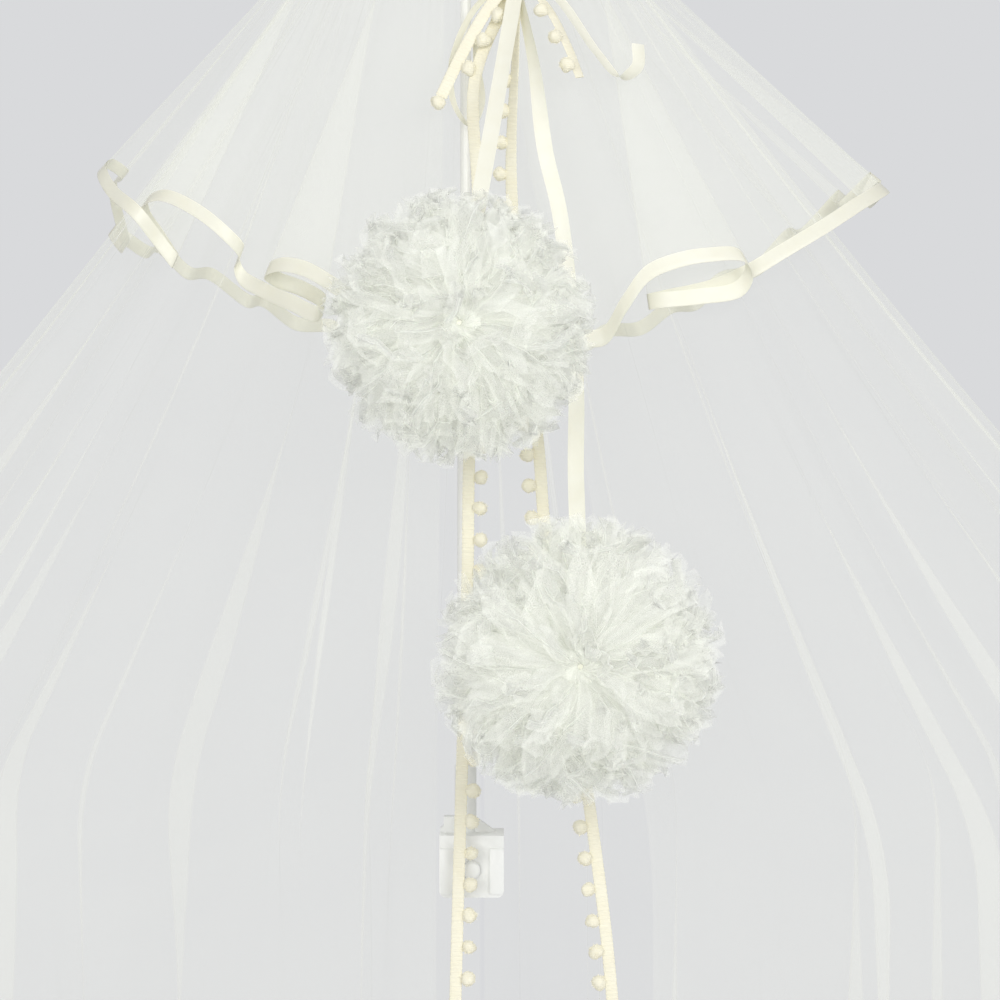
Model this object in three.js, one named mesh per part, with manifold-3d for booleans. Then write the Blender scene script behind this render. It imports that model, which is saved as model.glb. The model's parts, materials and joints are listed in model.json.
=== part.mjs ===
// Bed crown canopy: a tulle canopy gathered on a ring over the head of a cot.
// A screw clamp on the headboard holds a telescopic pole, the pole holds the ring, and the ring
// carries two long drape panels, a short bound flounce, a bow, two pompom trims and two pompoms.
// Millimetres, +Z up, the front faces -Y. The origin is the middle of the clamp's seat, which
// rests on the top edge of the headboard.
import * as THREE from "three";
import { mergeVertices } from "three/addons/utils/BufferGeometryUtils.js";
import Module from "manifold-3d";

const wasm = await Module();
wasm.setup();

const quarter = Math.PI / 2;

// Fits
const seatGap = 0.3; // between pieces that touch
const overrun = 4; // how far a cutter runs past what it cuts

// Headboard that the clamp is set to
const boardThickness = 22;

// Clamp
const clampWidth = 50;
const frontJawWall = 6;
const rearJawWall = 6;
const jawDepth = 43; // down the faces of the board
const bridgeThickness = 5;
const clampCornerRadius = 5;
const jawRibWidth = 11;
const jawRibHeight = 2.5;
const jawRibLength = 35;
const jawRibMargin = 3; // between the rib and the ends of the jaw
const seatPadThickness = 1.5;
const jawPadThickness = 2;
const padMargin = 5; // from a pad's edge to the edge of the clamp
const socketRadius = 8.5;
const socketHeight = 52;
const socketFloor = 3;
const gussetReach = 16;
const gussetHeight = 9;
const gussetThickness = 8;
const lugWidth = 11;
const lugHeight = 12;
const lugDepth = 14;
const lugOffset = 11.5; // from the pole's axis to the middle of the lug

// Clamp screw and its pressure pad
const screwDrop = 19.5; // below the seat
const screwRadius = 3.5;
const screwHeadRadius = 7;
const screwHeadThickness = 5;
const screwHeadCrown = 2;
const screwHeadStandoff = 1;
const insertRadius = 5.5;
const insertFlangeRadius = 8;
const insertFlangeThickness = 1.2;
const pressurePadRadius = 11;
const pressurePadThickness = 3;
const padTravel = 3.5;
const padCupDepth = 1.6; // how far the screw's tip sits in the pad

// Thumb screws, one in the socket and one in the collar
const thumbShankRadius = 2;
const thumbHeadRadius = 8;
const thumbHeadThickness = 9;
const thumbNeckRadius = 4;
const thumbNeckLength = 4;
const thumbGrooves = 8;
const thumbGrooveRadius = 1.4;
const socketScrewHeight = 34; // above the clamp's bridge

// Telescopic pole
const poleX = -5;
const lowerPoleRadius = 6.5;
const lowerPoleWall = 1;
const lowerPoleTop = 398;
const upperPoleRadius = 4.2;
const upperPoleWall = 0.9;
const upperPoleBottom = 232;
const slidingFit = 0.2; // between the plug and the lower pole's bore
const plugLength = 14;
const plugSpigotLength = 10;
const collarRadius = 9.5;
const collarLip = 16; // how far the collar stands above the lower pole
const collarSkirt = 14; // how far the collar comes down over the lower pole
const collarEase = 0.8; // chamfer of its ends

// Ring and its head
const hoopRadius = 125;
const hoopHeight = 720;
const hoopRodRadius = 3;
const hoopSetForward = 12; // from the pole's axis to the middle of the rod
const hoopEndGap = 2;
const headWidth = 26;
const headRearWall = 3.5;
const headFrontWall = 2.4;
const headRise = 10; // above the middle of the rod
const headDrop = 22; // below the middle of the rod
const headPoleDepth = 16; // how far the pole enters the head
const headCornerRadius = 3;
const ringScrewRadius = 1.6;
const ringScrewHeadRadius = 3.4;
const ringScrewHeadThickness = 2;

// Cloth
const tulleThickness = 1;
const bindingThickness = 1.6;
const casingClearance = 0.6; // round the rod
const casingThickness = 1.6;
const casingEndClearance = 3; // from the casing to the head of the ring

// Top of the cot that the drape is spread over
const railCentreX = 5;
const railCentreY = 200;
const railHalfWidth = 730;
const railHalfDepth = 235;
const railHeight = 0;
const railExponent = 2.6; // how square its corners are
const railBend = 60; // of the cloth, to each side of the rail

// Drape
const drapeLength = 1600; // from the ring to the hem
const drapeGapLeft = 32; // from the middle of the rail to the left panel's free edge
const drapeGapRight = 135;
const drapeSeamGap = 2; // between the two panels at the back
const drapeFolds = 10; // in each panel
const drapeFoldTop = 1.6; // depth of a fold to each side, at the ring
const drapeFoldHem = 17;
const drapeFoldFront = 4; // beside the parted front edges
const drapeSag = 18; // how far the slanted cloth hangs in between the ring and the rail
const drapeSagStartShare = 0.03; // shares of the ring's way round, between which the sag grows from the
const drapeSagFullShare = 0.13; // straight front edges, which pass the clamp, to its full depth

// Flounce
const flounceAside = 23; // from the ring's middle to the middle of the flounce's foot
const flounceBehind = 51;
const flounceSpread = 215; // how far its foot stands out from the ring to each side
const flounceDepthSpread = 77; // and from front to back
const flounceExponent = 3.2;
const flounceFrontLength = 334; // from the ring to the end of the tulle
const flounceSideLength = 262;
const flounceFolds = 16;
const flounceFoldTop = 1.2;
const flounceFoldHem = 13;
const flounceFoldFront = 3;

// Satin
const bindingWidth = 12.5;
const satinWidth = 12;
const satinThickness = 1;

// Bow
const bowX = 35;
const bowDrop = 51; // below the ring
const knotRadius = 10;
const stripSeat = 0.7; // from the knot to the middle of a strip's end
const bowBackingRadius = 9;
const bowBackingThickness = 3;
const bowBackingEase = 3.2; // room for the slope of the flounce behind it
const upperPompomSide = -42; // from the knot
const upperPompomDrop = 278;
const lowerPompomSide = 43;
const lowerPompomDrop = 518;
const pompomForward = 127;

// Pompom trims
const braidWidth = 9.5;
const braidThickness = 1.2;
const pomRadius = 6;
const pomPitch = 24;
const pomBite = 1.6; // how far a pom sits over the braid's edge

// Pompoms of tulle strips, tied in the middle
const upperPompomRadius = 99;
const lowerPompomRadius = 104;
const pompomEyeRadius = 13; // mouth of the hollow in front of the tie
const pompomTieRadius = 5;
const pompomTieDepth = 46; // from the front of the pompom to its tie

// Counts of facets
const roundSides = 24;
const smallSides = 16;
const foldSteps = 5; // columns to each fold

const white = 0xf4f4f2;
const finishes = {
  plastic: new THREE.MeshStandardMaterial({ color: white, roughness: 0.38, metalness: 0 }),
  enamel: new THREE.MeshStandardMaterial({ color: 0xf1f1ee, roughness: 0.3, metalness: 0.1 }),
  zinc: new THREE.MeshStandardMaterial({ color: 0xc9cbcc, roughness: 0.35, metalness: 1 }),
  brass: new THREE.MeshStandardMaterial({ color: 0xc9a85c, roughness: 0.35, metalness: 1 }),
  rubber: new THREE.MeshStandardMaterial({ color: 0xdededa, roughness: 0.85, metalness: 0 }),
  tulle: new THREE.MeshStandardMaterial({ color: 0xe3e6e1, roughness: 0.9, metalness: 0 }),
  satin: new THREE.MeshStandardMaterial({ color: 0xf6efd6, roughness: 0.4, metalness: 0 }),
  braid: new THREE.MeshStandardMaterial({ color: 0xf3efd9, roughness: 0.8, metalness: 0 }),
  pompom: new THREE.MeshStandardMaterial({ color: 0xeff3ee, roughness: 0.95, metalness: 0 }),
};

// Derived places
const seatTop = seatPadThickness;
const bridgeUnderside = seatTop + seatGap;
const bridgeTop = bridgeUnderside + bridgeThickness;
const boardFront = -boardThickness / 2;
const boardRear = boardThickness / 2;
const frontJawInner = boardFront - pressurePadThickness - padTravel - insertFlangeThickness - 2 * seatGap;
const frontJawOuter = frontJawInner - frontJawWall;
const rearJawInner = boardRear + jawPadThickness + seatGap;
const rearJawOuter = rearJawInner + rearJawWall;
const hoopCentre = new THREE.Vector3(poleX, hoopRadius - hoopSetForward, hoopHeight);
const collarTop = lowerPoleTop + collarLip;
const casingOuter = hoopRodRadius + casingClearance + casingThickness;
const flounceSetOut = casingOuter + seatGap + tulleThickness / 2 + flounceFoldTop;

// A closed geometry as a manifold solid
function solid(geometry) {
  const bare = geometry.clone();
  bare.deleteAttribute("normal");
  bare.deleteAttribute("uv");
  const merged = mergeVertices(bare);
  return new wasm.Manifold(
    new wasm.Mesh({
      numProp: 3,
      vertProperties: new Float32Array(merged.attributes.position.array),
      triVerts: new Uint32Array(merged.index.array),
    }),
  );
}

// A manifold solid as a geometry
function geometryOf(manifold) {
  const mesh = manifold.getMesh();
  const geometry = new THREE.BufferGeometry();
  geometry.setAttribute("position", new THREE.BufferAttribute(mesh.vertProperties, 3));
  geometry.setIndex(new THREE.BufferAttribute(mesh.triVerts, 1));
  geometry.computeVertexNormals();
  return geometry;
}

function boxSpan(low, high) {
  const size = new THREE.Vector3().subVectors(high, low);
  const middle = new THREE.Vector3().addVectors(low, high).multiplyScalar(0.5);
  return new THREE.BoxGeometry(size.x, size.y, size.z).translate(middle.x, middle.y, middle.z);
}

// A cylinder along Z from low to high
function rod(radius, low, high, sides = roundSides) {
  const geometry = new THREE.CylinderGeometry(radius, radius, high - low, sides);
  return geometry.rotateX(Math.PI / 2).translate(0, 0, (low + high) / 2);
}

// A lathe profile of [radius, height] points, turned about Z
function turned(profile, sides = roundSides) {
  const points = profile.map(([radius, height]) => new THREE.Vector2(radius, height));
  return new THREE.LatheGeometry(points, sides).rotateX(Math.PI / 2);
}

// A plate with rounded corners in the XZ plane, from y = low to y = high
function roundedPlate(width, bottom, top, corner, low, high) {
  const half = width / 2;
  const outline = new THREE.Shape();
  outline.moveTo(-half + corner, bottom);
  outline.lineTo(half - corner, bottom);
  outline.absarc(half - corner, bottom + corner, corner, -Math.PI / 2, 0, false);
  outline.lineTo(half, top);
  outline.lineTo(-half, top);
  outline.lineTo(-half, bottom + corner);
  outline.absarc(-half + corner, bottom + corner, corner, Math.PI, Math.PI * 1.5, false);
  const plate = new THREE.ExtrudeGeometry(outline, { depth: high - low, bevelEnabled: false, curveSegments: 5 });
  return plate.rotateX(Math.PI / 2).translate(0, high, 0);
}

// A closed skin round a grid of points: rows of columns, each moved half a thickness both ways
function clothShell(pointAt, columns, rows, thickness, isRing) {
  const across = isRing ? columns : columns + 1;
  const grid = [];
  for (let row = 0; row <= rows; row++) {
    for (let column = 0; column < across; column++) grid.push(pointAt(column / columns, row));
  }
  const at = (column, row) => {
    const place = isRing ? (column + across) % across : Math.min(Math.max(column, 0), across - 1);
    return grid[Math.min(Math.max(row, 0), rows) * across + place];
  };
  const positions = [];
  for (const side of [1, -1]) {
    for (let row = 0; row <= rows; row++) {
      for (let column = 0; column < across; column++) {
        const along = new THREE.Vector3().subVectors(at(column + 1, row), at(column - 1, row));
        const down = new THREE.Vector3().subVectors(at(column, row + 1), at(column, row - 1));
        const normal = along.cross(down).normalize();
        const point = at(column, row).clone().addScaledVector(normal, (side * thickness) / 2);
        positions.push(point.x, point.y, point.z);
      }
    }
  }
  const layer = across * (rows + 1);
  const index = [];
  const quad = (a, b, c, d) => index.push(a, b, c, a, c, d);
  const spans = isRing ? across : across - 1;
  for (let row = 0; row < rows; row++) {
    for (let column = 0; column < spans; column++) {
      const next = (column + 1) % across;
      const a = row * across + column;
      const b = row * across + next;
      const c = (row + 1) * across + next;
      const d = (row + 1) * across + column;
      quad(a, b, c, d);
      quad(layer + d, layer + c, layer + b, layer + a);
    }
  }
  for (let column = 0; column < spans; column++) {
    const next = (column + 1) % across;
    const last = rows * across;
    quad(next, column, layer + column, layer + next);
    quad(last + column, last + next, layer + last + next, layer + last + column);
  }
  if (!isRing) {
    for (let row = 0; row < rows; row++) {
      const a = row * across;
      const d = (row + 1) * across;
      const last = across - 1;
      quad(a, d, layer + d, layer + a);
      quad(d + last, a + last, layer + a + last, layer + d + last);
    }
  }
  const geometry = new THREE.BufferGeometry();
  geometry.setAttribute("position", new THREE.Float32BufferAttribute(positions, 3));
  geometry.setIndex(index);
  geometry.computeVertexNormals();
  return facingOut(geometry);
}

// Turns a closed geometry's faces out if they face in
function facingOut(geometry) {
  const position = geometry.attributes.position;
  const index = geometry.index.array;
  const corner = [0, 1, 2].map(() => new THREE.Vector3());
  let volume = 0;
  for (let face = 0; face < index.length; face += 3) {
    corner.forEach((point, i) => point.fromBufferAttribute(position, index[face + i]));
    volume += corner[0].dot(corner[1].clone().cross(corner[2]));
  }
  if (volume < 0) index.reverse();
  return geometry;
}

// A flat strip of ribbon or braid along a curve, its width held near a chosen direction
function strip(points, width, thickness, widthway, steps) {
  const curve = new THREE.CatmullRomCurve3(points.map((point) => new THREE.Vector3(...point)));
  const positions = [];
  for (let step = 0; step <= steps; step++) {
    const middle = curve.getPointAt(step / steps);
    const tangent = curve.getTangentAt(step / steps);
    const across = widthway.clone().addScaledVector(tangent, -widthway.dot(tangent)).normalize();
    const normal = new THREE.Vector3().crossVectors(tangent, across);
    for (const [u, v] of [[-1, -1], [1, -1], [1, 1], [-1, 1]]) {
      const corner = middle.clone();
      corner.addScaledVector(across, (u * width) / 2).addScaledVector(normal, (v * thickness) / 2);
      positions.push(corner.x, corner.y, corner.z);
    }
  }
  const index = [];
  for (let step = 0; step < steps; step++) {
    for (let side = 0; side < 4; side++) {
      const a = step * 4 + side;
      const b = step * 4 + ((side + 1) % 4);
      index.push(a, b, b + 4, a, b + 4, a + 4);
    }
  }
  const end = steps * 4;
  index.push(2, 1, 0, 3, 2, 0, end, end + 1, end + 2, end, end + 2, end + 3);
  const geometry = new THREE.BufferGeometry();
  geometry.setAttribute("position", new THREE.Float32BufferAttribute(positions, 3));
  geometry.setIndex(index);
  geometry.computeVertexNormals();
  return facingOut(geometry);
}

// A level outline with rounded corners. Its shares run round from the front middle, right first
class Outline extends THREE.Curve {
  constructor(centreX, centreY, halfWidth, halfDepth, exponent, height) {
    super();
    Object.assign(this, { centreX, centreY, halfWidth, halfDepth, exponent, height });
  }

  getPoint(share, target = new THREE.Vector3()) {
    const angle = share * 2 * Math.PI;
    const bulge = (value) => Math.sign(value) * Math.abs(value) ** (2 / this.exponent);
    const x = this.centreX + this.halfWidth * bulge(Math.sin(angle));
    const y = this.centreY - this.halfDepth * bulge(Math.cos(angle));
    return target.set(x, y, this.height);
  }
}

const smooth = (low, high, value) => THREE.MathUtils.smoothstep(value, low, high);
const mix = THREE.MathUtils.lerp;

function ringPoint(share, setOut, drop) {
  const angle = share * 2 * Math.PI;
  const reach = hoopRadius + setOut;
  return new THREE.Vector3(
    hoopCentre.x + reach * Math.sin(angle),
    hoopCentre.y - reach * Math.cos(angle),
    hoopHeight - drop,
  );
}

// The level direction out of the cloth at a share, from its neighbours on the same line
function outward(lineAt, share) {
  const step = 0.002; // of the way round
  const along = new THREE.Vector3().subVectors(lineAt(share + step), lineAt(share - step));
  return new THREE.Vector3(along.y, -along.x, 0).normalize();
}

// Drape
const railOutline = new Outline(railCentreX, railCentreY, railHalfWidth, railHalfDepth, railExponent, railHeight);
railOutline.arcLengthDivisions = 800;
const railGirth = railOutline.getLength();
const ringGirth = 2 * Math.PI * hoopRadius;
const casingStart = headWidth / 2 + casingEndClearance;
const drapeTopDrop = casingOuter + seatGap;

const wrapped = (share) => ((share % 1) + 1) % 1;

// A point of the slanted cloth moved in by the sag, share of the way from the ring to the rail
function sagged(point, straight, sag, share) {
  const inward = new THREE.Vector3(-straight.x, -straight.y, 0).normalize();
  return point.addScaledVector(inward, sag * 4 * share * (1 - share));
}

// A point of the unfolded drape: ringShare and railShare say where its line hangs, length how far down
function drapeLine(ringShare, railShare, length) {
  const top = ringPoint(ringShare, 0, drapeTopDrop);
  const rail = railOutline.getPointAt(wrapped(railShare));
  const reach = top.distanceTo(rail);
  const straight = new THREE.Vector3().subVectors(rail, top).normalize();
  const sag = drapeSag * THREE.MathUtils.smoothstep(Math.abs(ringShare), drapeSagStartShare, drapeSagFullShare);
  if (length <= reach - railBend) return sagged(top.addScaledVector(straight, length), straight, sag, length / reach);
  if (length >= reach + railBend) return rail.setZ(railHeight - (length - reach));
  const before = sagged(rail.clone().addScaledVector(straight, -railBend), straight, sag, 1 - railBend / reach);
  const after = rail.clone().setZ(railHeight - railBend);
  const share = (length - reach + railBend) / (2 * railBend);
  return before.lerp(rail, share).lerp(rail.clone().lerp(after, share), share);
}

// One panel runs from its free front edge to the seam at the back
function drapePanel(side, thickness, lengths) {
  const gap = side > 0 ? drapeGapRight : drapeGapLeft;
  const ringEdge = casingStart / ringGirth;
  const railEdge = gap / railGirth;
  const ringEnd = 0.5 - drapeSeamGap / ringGirth;
  const railEnd = 0.5 - drapeSeamGap / railGirth;
  const columns = drapeFolds * foldSteps;
  const pointAt = (across, row) => {
    const share = (value, from, to) => side * mix(from, to, value);
    const lineAt = (value, length) => drapeLine(share(value, ringEdge, ringEnd), share(value, railEdge, railEnd), length);
    const reach = lineAt(across, 0).distanceTo(railOutline.getPointAt(wrapped(share(across, railEdge, railEnd))));
    const length = lengths[row](reach);
    const down = length / drapeLength;
    const deep = mix(drapeFoldFront, drapeFoldHem, smooth(0, 0.2, across));
    const depth = mix(drapeFoldTop, deep, down ** 0.8);
    const wave = Math.cos(2 * Math.PI * drapeFolds * across + 0.5 * Math.sin(6 * Math.PI * across));
    const out = outward((value) => lineAt(value, length), across).multiplyScalar(side);
    return lineAt(across, length).addScaledVector(out, depth * wave);
  };
  return clothShell(pointAt, columns, lengths.length - 1, thickness, false);
}

const slantShares = [0, 0.3, 0.62, 0.92];
const fallShares = [0.3, 0.65, 1];
const drapeEnd = drapeLength - bindingWidth;
const drapeRows = [
  ...slantShares.map((share) => (reach) => share * (reach - railBend)),
  (reach) => reach + railBend,
  ...fallShares.map((share) => (reach) => mix(reach + railBend, drapeEnd, share)),
];
const drapeHemRows = [() => drapeEnd + seatGap, () => drapeLength];

// Flounce
const flounceOutline = new Outline(
  hoopCentre.x + flounceAside, hoopCentre.y + flounceBehind,
  hoopRadius + flounceSpread, hoopRadius + flounceDepthSpread, flounceExponent, hoopHeight,
);
flounceOutline.arcLengthDivisions = 800;

function flounceReach(share) {
  return mix(flounceFrontLength, flounceSideLength, Math.sin(2 * Math.PI * share) ** 2);
}

// A point of the unfolded flounce, length down from the ring
function flounceLine(share, length) {
  const top = ringPoint(share, flounceSetOut, 0);
  const below = flounceOutline.getPointAt(wrapped(share));
  const reach = flounceReach(share);
  const run = Math.hypot(below.x - top.x, below.y - top.y);
  below.z = hoopHeight - Math.sqrt(reach ** 2 - run ** 2);
  return top.lerp(below, length / reach);
}

function flounceShell(thickness, lengths) {
  const pointAt = (across, row) => {
    const length = lengths[row](flounceReach(across));
    const down = length / flounceReach(across);
    const fromFront = Math.min(across, 1 - across);
    const deep = mix(flounceFoldFront, flounceFoldHem, smooth(0.03, 0.1, fromFront));
    const depth = mix(flounceFoldTop, deep, down);
    const wave = -Math.cos(2 * Math.PI * flounceFolds * across + 0.6 * Math.sin(4 * Math.PI * across));
    const out = outward((value) => flounceLine(value, length), across);
    return flounceLine(across, length).addScaledVector(out, depth * wave);
  };
  return clothShell(pointAt, flounceFolds * foldSteps, lengths.length - 1, thickness, true);
}

const flounceShares = [0, 0.2, 0.4, 0.6, 0.8, 1];
const flounceRows = flounceShares.map((share) => (reach) => share * reach);
const flounceHemRows = [(reach) => reach + seatGap, (reach) => reach + bindingWidth];

// Clamp
function clampBody() {
  const low = bridgeUnderside - jawDepth;
  const screwHeight = -screwDrop;
  let body = solid(roundedPlate(clampWidth, low, bridgeTop, clampCornerRadius, frontJawOuter, frontJawInner));
  body = body.add(solid(roundedPlate(clampWidth, low, bridgeTop, clampCornerRadius, rearJawInner, rearJawOuter)));
  const half = clampWidth / 2;
  const bridgeLow = new THREE.Vector3(-half, frontJawOuter, bridgeUnderside);
  const bridgeHigh = new THREE.Vector3(half, rearJawOuter, bridgeTop);
  body = body.add(solid(boxSpan(bridgeLow, bridgeHigh)));
  // Stiffening ribs down both sides of the front jaw
  for (const side of [-1, 1]) {
    const rib = roundedPlate(
      jawRibWidth, low + jawRibMargin, low + jawRibMargin + jawRibLength, clampCornerRadius / 2,
      frontJawOuter - jawRibHeight, frontJawOuter + jawRibHeight,
    );
    rib.translate(side * (half - jawRibWidth / 2), 0, 0);
    body = body.add(solid(rib));
  }
  // Socket for the pole, with a gusset to each side and a lug on the left
  const socketTop = bridgeTop + socketHeight;
  const socket = rod(socketRadius, bridgeUnderside, socketTop).translate(poleX, 0, 0);
  body = body.add(solid(socket));
  const slope = new THREE.Shape();
  slope.moveTo(-socketRadius - gussetReach, 0);
  slope.lineTo(socketRadius + gussetReach, 0);
  slope.lineTo(0, gussetHeight + socketRadius);
  const gusset = new THREE.ExtrudeGeometry(slope, { depth: gussetThickness, bevelEnabled: false });
  gusset.rotateX(Math.PI / 2).translate(poleX, gussetThickness / 2, bridgeTop - seatGap);
  const trim = boxSpan(
    new THREE.Vector3(-half, -gussetThickness, bridgeUnderside),
    new THREE.Vector3(half, gussetThickness, socketTop),
  );
  body = body.add(solid(gusset).intersect(solid(trim)));
  const lugMiddle = poleX - lugOffset;
  const lug = boxSpan(
    new THREE.Vector3(lugMiddle - lugWidth / 2, -lugDepth / 2, bridgeUnderside + seatGap),
    new THREE.Vector3(lugMiddle + lugWidth / 2, lugDepth / 2, bridgeTop + lugHeight),
  );
  body = body.add(solid(lug));
  // Bores for the pole, the thumb screw and the threaded insert
  const poleBore = rod(lowerPoleRadius + seatGap, bridgeTop + socketFloor, socketTop + overrun);
  body = body.subtract(solid(poleBore.translate(poleX, 0, 0)));
  const screwBore = rod(thumbShankRadius + seatGap, 0, socketRadius + overrun, smallSides);
  screwBore.rotateX(-Math.PI / 2).translate(poleX, 0, bridgeTop + socketScrewHeight);
  body = body.subtract(solid(screwBore));
  const insertBore = rod(insertRadius + seatGap, -frontJawInner - overrun, -frontJawOuter + overrun, smallSides);
  insertBore.rotateX(Math.PI / 2).translate(0, 0, screwHeight);
  return geometryOf(body.subtract(solid(insertBore)));
}

// Flanged brass insert in the front jaw, its flange inside. Built along Z, its flange at zero
function threadInsert() {
  const bore = screwRadius + seatGap;
  const profile = [
    [bore, 0],
    [insertFlangeRadius, 0],
    [insertFlangeRadius, insertFlangeThickness],
    [insertRadius, insertFlangeThickness],
    [insertRadius, insertFlangeThickness + seatGap + frontJawWall],
    [bore, insertFlangeThickness + seatGap + frontJawWall],
    [bore, 0],
  ];
  return turned(profile, smallSides);
}

const screwTip = boardFront - pressurePadThickness + padCupDepth;
const screwHeadInner = frontJawOuter - screwHeadStandoff;
// Round headed screw, built along Z from its tip
function clampScrew() {
  const shank = screwTip - screwHeadInner;
  const head = shank + screwHeadThickness;
  const profile = [
    [0, 0],
    [screwRadius, 0],
    [screwRadius, shank],
    [screwHeadRadius, shank],
    [screwHeadRadius, head - screwHeadCrown],
    [screwHeadRadius * 0.8, head - screwHeadCrown / 3],
    [screwHeadRadius * 0.4, head],
    [0, head],
  ];
  return turned(profile, smallSides);
}

// Round pad with a cup for the screw's tip, built along Z from its face on the board
function pressurePad() {
  const cup = screwRadius + seatGap;
  const floor = pressurePadThickness - padCupDepth - seatGap;
  const profile = [
    [0, 0],
    [pressurePadRadius, 0],
    [pressurePadRadius, pressurePadThickness],
    [cup, pressurePadThickness],
    [cup, floor],
    [0, floor],
  ];
  return turned(profile, roundSides);
}

// Thumb screw along Z: its tip at zero, then the shank, the neck and the grooved head
function thumbScrew(shank) {
  const neck = shank + thumbNeckLength;
  const top = neck + thumbHeadThickness;
  const ease = thumbHeadThickness * 0.12;
  let screw = solid(turned([
    [0, 0],
    [thumbShankRadius, 0],
    [thumbShankRadius, shank],
    [thumbNeckRadius, shank],
    [thumbNeckRadius, neck],
    [thumbHeadRadius - ease, neck],
    [thumbHeadRadius, neck + ease],
    [thumbHeadRadius, top - ease],
    [thumbHeadRadius - ease, top],
    [0, top],
  ]));
  for (let groove = 0; groove < thumbGrooves; groove++) {
    const cutter = rod(thumbGrooveRadius, neck - overrun, top + overrun, 8);
    cutter.translate(thumbHeadRadius + thumbGrooveRadius / 3, 0, 0);
    cutter.rotateZ((2 * Math.PI * groove) / thumbGrooves);
    screw = screw.subtract(solid(cutter));
  }
  return geometryOf(screw);
}

function tube(radius, wall, low, high) {
  return turned([[radius - wall, low], [radius, low], [radius, high], [radius - wall, high], [radius - wall, low]]);
}

function polePlug() {
  const wide = lowerPoleRadius - lowerPoleWall - slidingFit;
  const narrow = upperPoleRadius - upperPoleWall - seatGap;
  return turned([
    [0, upperPoleBottom - seatGap - plugLength],
    [wide, upperPoleBottom - seatGap - plugLength],
    [wide, upperPoleBottom - seatGap],
    [narrow, upperPoleBottom - seatGap],
    [narrow, upperPoleBottom + plugSpigotLength],
    [0, upperPoleBottom + plugSpigotLength],
  ]);
}

// Collar over the end of the lower pole, bored through for the upper pole and its thumb screw
function poleCollar() {
  const wide = lowerPoleRadius + seatGap;
  const narrow = upperPoleRadius + slidingFit;
  const shoulder = lowerPoleTop + seatGap;
  const bottom = lowerPoleTop - collarSkirt;
  const body = solid(turned([
    [wide, bottom],
    [collarRadius - collarEase, bottom],
    [collarRadius, bottom + collarEase],
    [collarRadius, collarTop - collarEase],
    [collarRadius - collarEase, collarTop],
    [narrow, collarTop],
    [narrow, shoulder],
    [wide, shoulder],
    [wide, bottom],
  ]));
  const bore = rod(thumbShankRadius + seatGap, 0, collarRadius + overrun, smallSides);
  bore.rotateX(-Math.PI / 2).translate(0, 0, (shoulder + collarTop) / 2);
  return geometryOf(body.subtract(solid(bore)));
}

// Head on the pole that grips the ring, cut for both and for the ring's screw
function hoopHead() {
  const front = -hoopSetForward - hoopRodRadius - headFrontWall;
  const rear = upperPoleRadius + headRearWall;
  const outline = new THREE.Shape();
  const half = headWidth / 2;
  const corner = headCornerRadius;
  outline.absarc(half - corner, rear - corner, corner, 0, Math.PI / 2, false);
  outline.absarc(-half + corner, rear - corner, corner, Math.PI / 2, Math.PI, false);
  outline.absarc(-half + corner, front + corner, corner, Math.PI, Math.PI * 1.5, false);
  outline.absarc(half - corner, front + corner, corner, Math.PI * 1.5, Math.PI * 2, false);
  const block = new THREE.ExtrudeGeometry(outline, {
    depth: headRise + headDrop, bevelEnabled: false, curveSegments: 4,
  });
  block.translate(poleX, 0, hoopHeight - headDrop);
  const bottom = hoopHeight - headDrop;
  const poleBore = rod(upperPoleRadius + seatGap, bottom - overrun, bottom + headPoleDepth + seatGap);
  const ringCut = new THREE.TorusGeometry(hoopRadius, hoopRodRadius + seatGap, 12, 96);
  ringCut.translate(hoopCentre.x, hoopCentre.y, hoopCentre.z);
  const screwBore = rod(ringScrewRadius + seatGap, 0, headRise + overrun, 12);
  screwBore.translate(poleX, -hoopSetForward, hoopHeight);
  return geometryOf(
    solid(block)
      .subtract(solid(poleBore.translate(poleX, 0, 0)))
      .subtract(solid(ringCut))
      .subtract(solid(screwBore)),
  );
}

// Steel rod bent to a ring, its two ends a little apart inside the head
function sweptRing(shape, clearance, steps) {
  const away = clearance / hoopRadius;
  const circle = new THREE.EllipseCurve(
    0, 0, hoopRadius, hoopRadius, -Math.PI / 2 + away, Math.PI * 1.5 - away, false,
  );
  const path = new THREE.CatmullRomCurve3(
    circle.getPoints(steps).map((point) => new THREE.Vector3(point.x, point.y, 0)),
  );
  const ring = new THREE.ExtrudeGeometry(shape, { steps, extrudePath: path, bevelEnabled: false });
  return ring.translate(hoopCentre.x, hoopCentre.y, hoopCentre.z);
}

function disc(radius, sides) {
  const outline = new THREE.Shape();
  for (let side = 0; side < sides; side++) {
    const angle = (2 * Math.PI * side) / sides;
    const point = [radius * Math.cos(angle), radius * Math.sin(angle)];
    if (side) outline.lineTo(...point);
    else outline.moveTo(...point);
  }
  return outline;
}

function casingSection() {
  const outline = disc(casingOuter, 8);
  outline.holes.push(disc(casingOuter - casingThickness, 8));
  return outline;
}

function ringScrew() {
  const top = headRise + seatGap;
  return turned([
    [0, hoopRodRadius + seatGap],
    [ringScrewRadius, hoopRodRadius + seatGap],
    [ringScrewRadius, top],
    [ringScrewHeadRadius, top],
    [ringScrewHeadRadius, top + ringScrewHeadThickness],
    [0, top + ringScrewHeadThickness],
  ], 12);
}

// Bow on the front of the flounce
const backingShare = Math.asin((bowX - poleX) / (hoopRadius + flounceSetOut)) / (2 * Math.PI);
const backingSeat = flounceLine(backingShare, bowDrop);
const backingFront = backingSeat.y - flounceFoldFront - bowBackingEase - bowBackingThickness;
const knotY = backingFront - seatGap - knotRadius;
const knotZ = hoopHeight - bowDrop;

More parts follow.
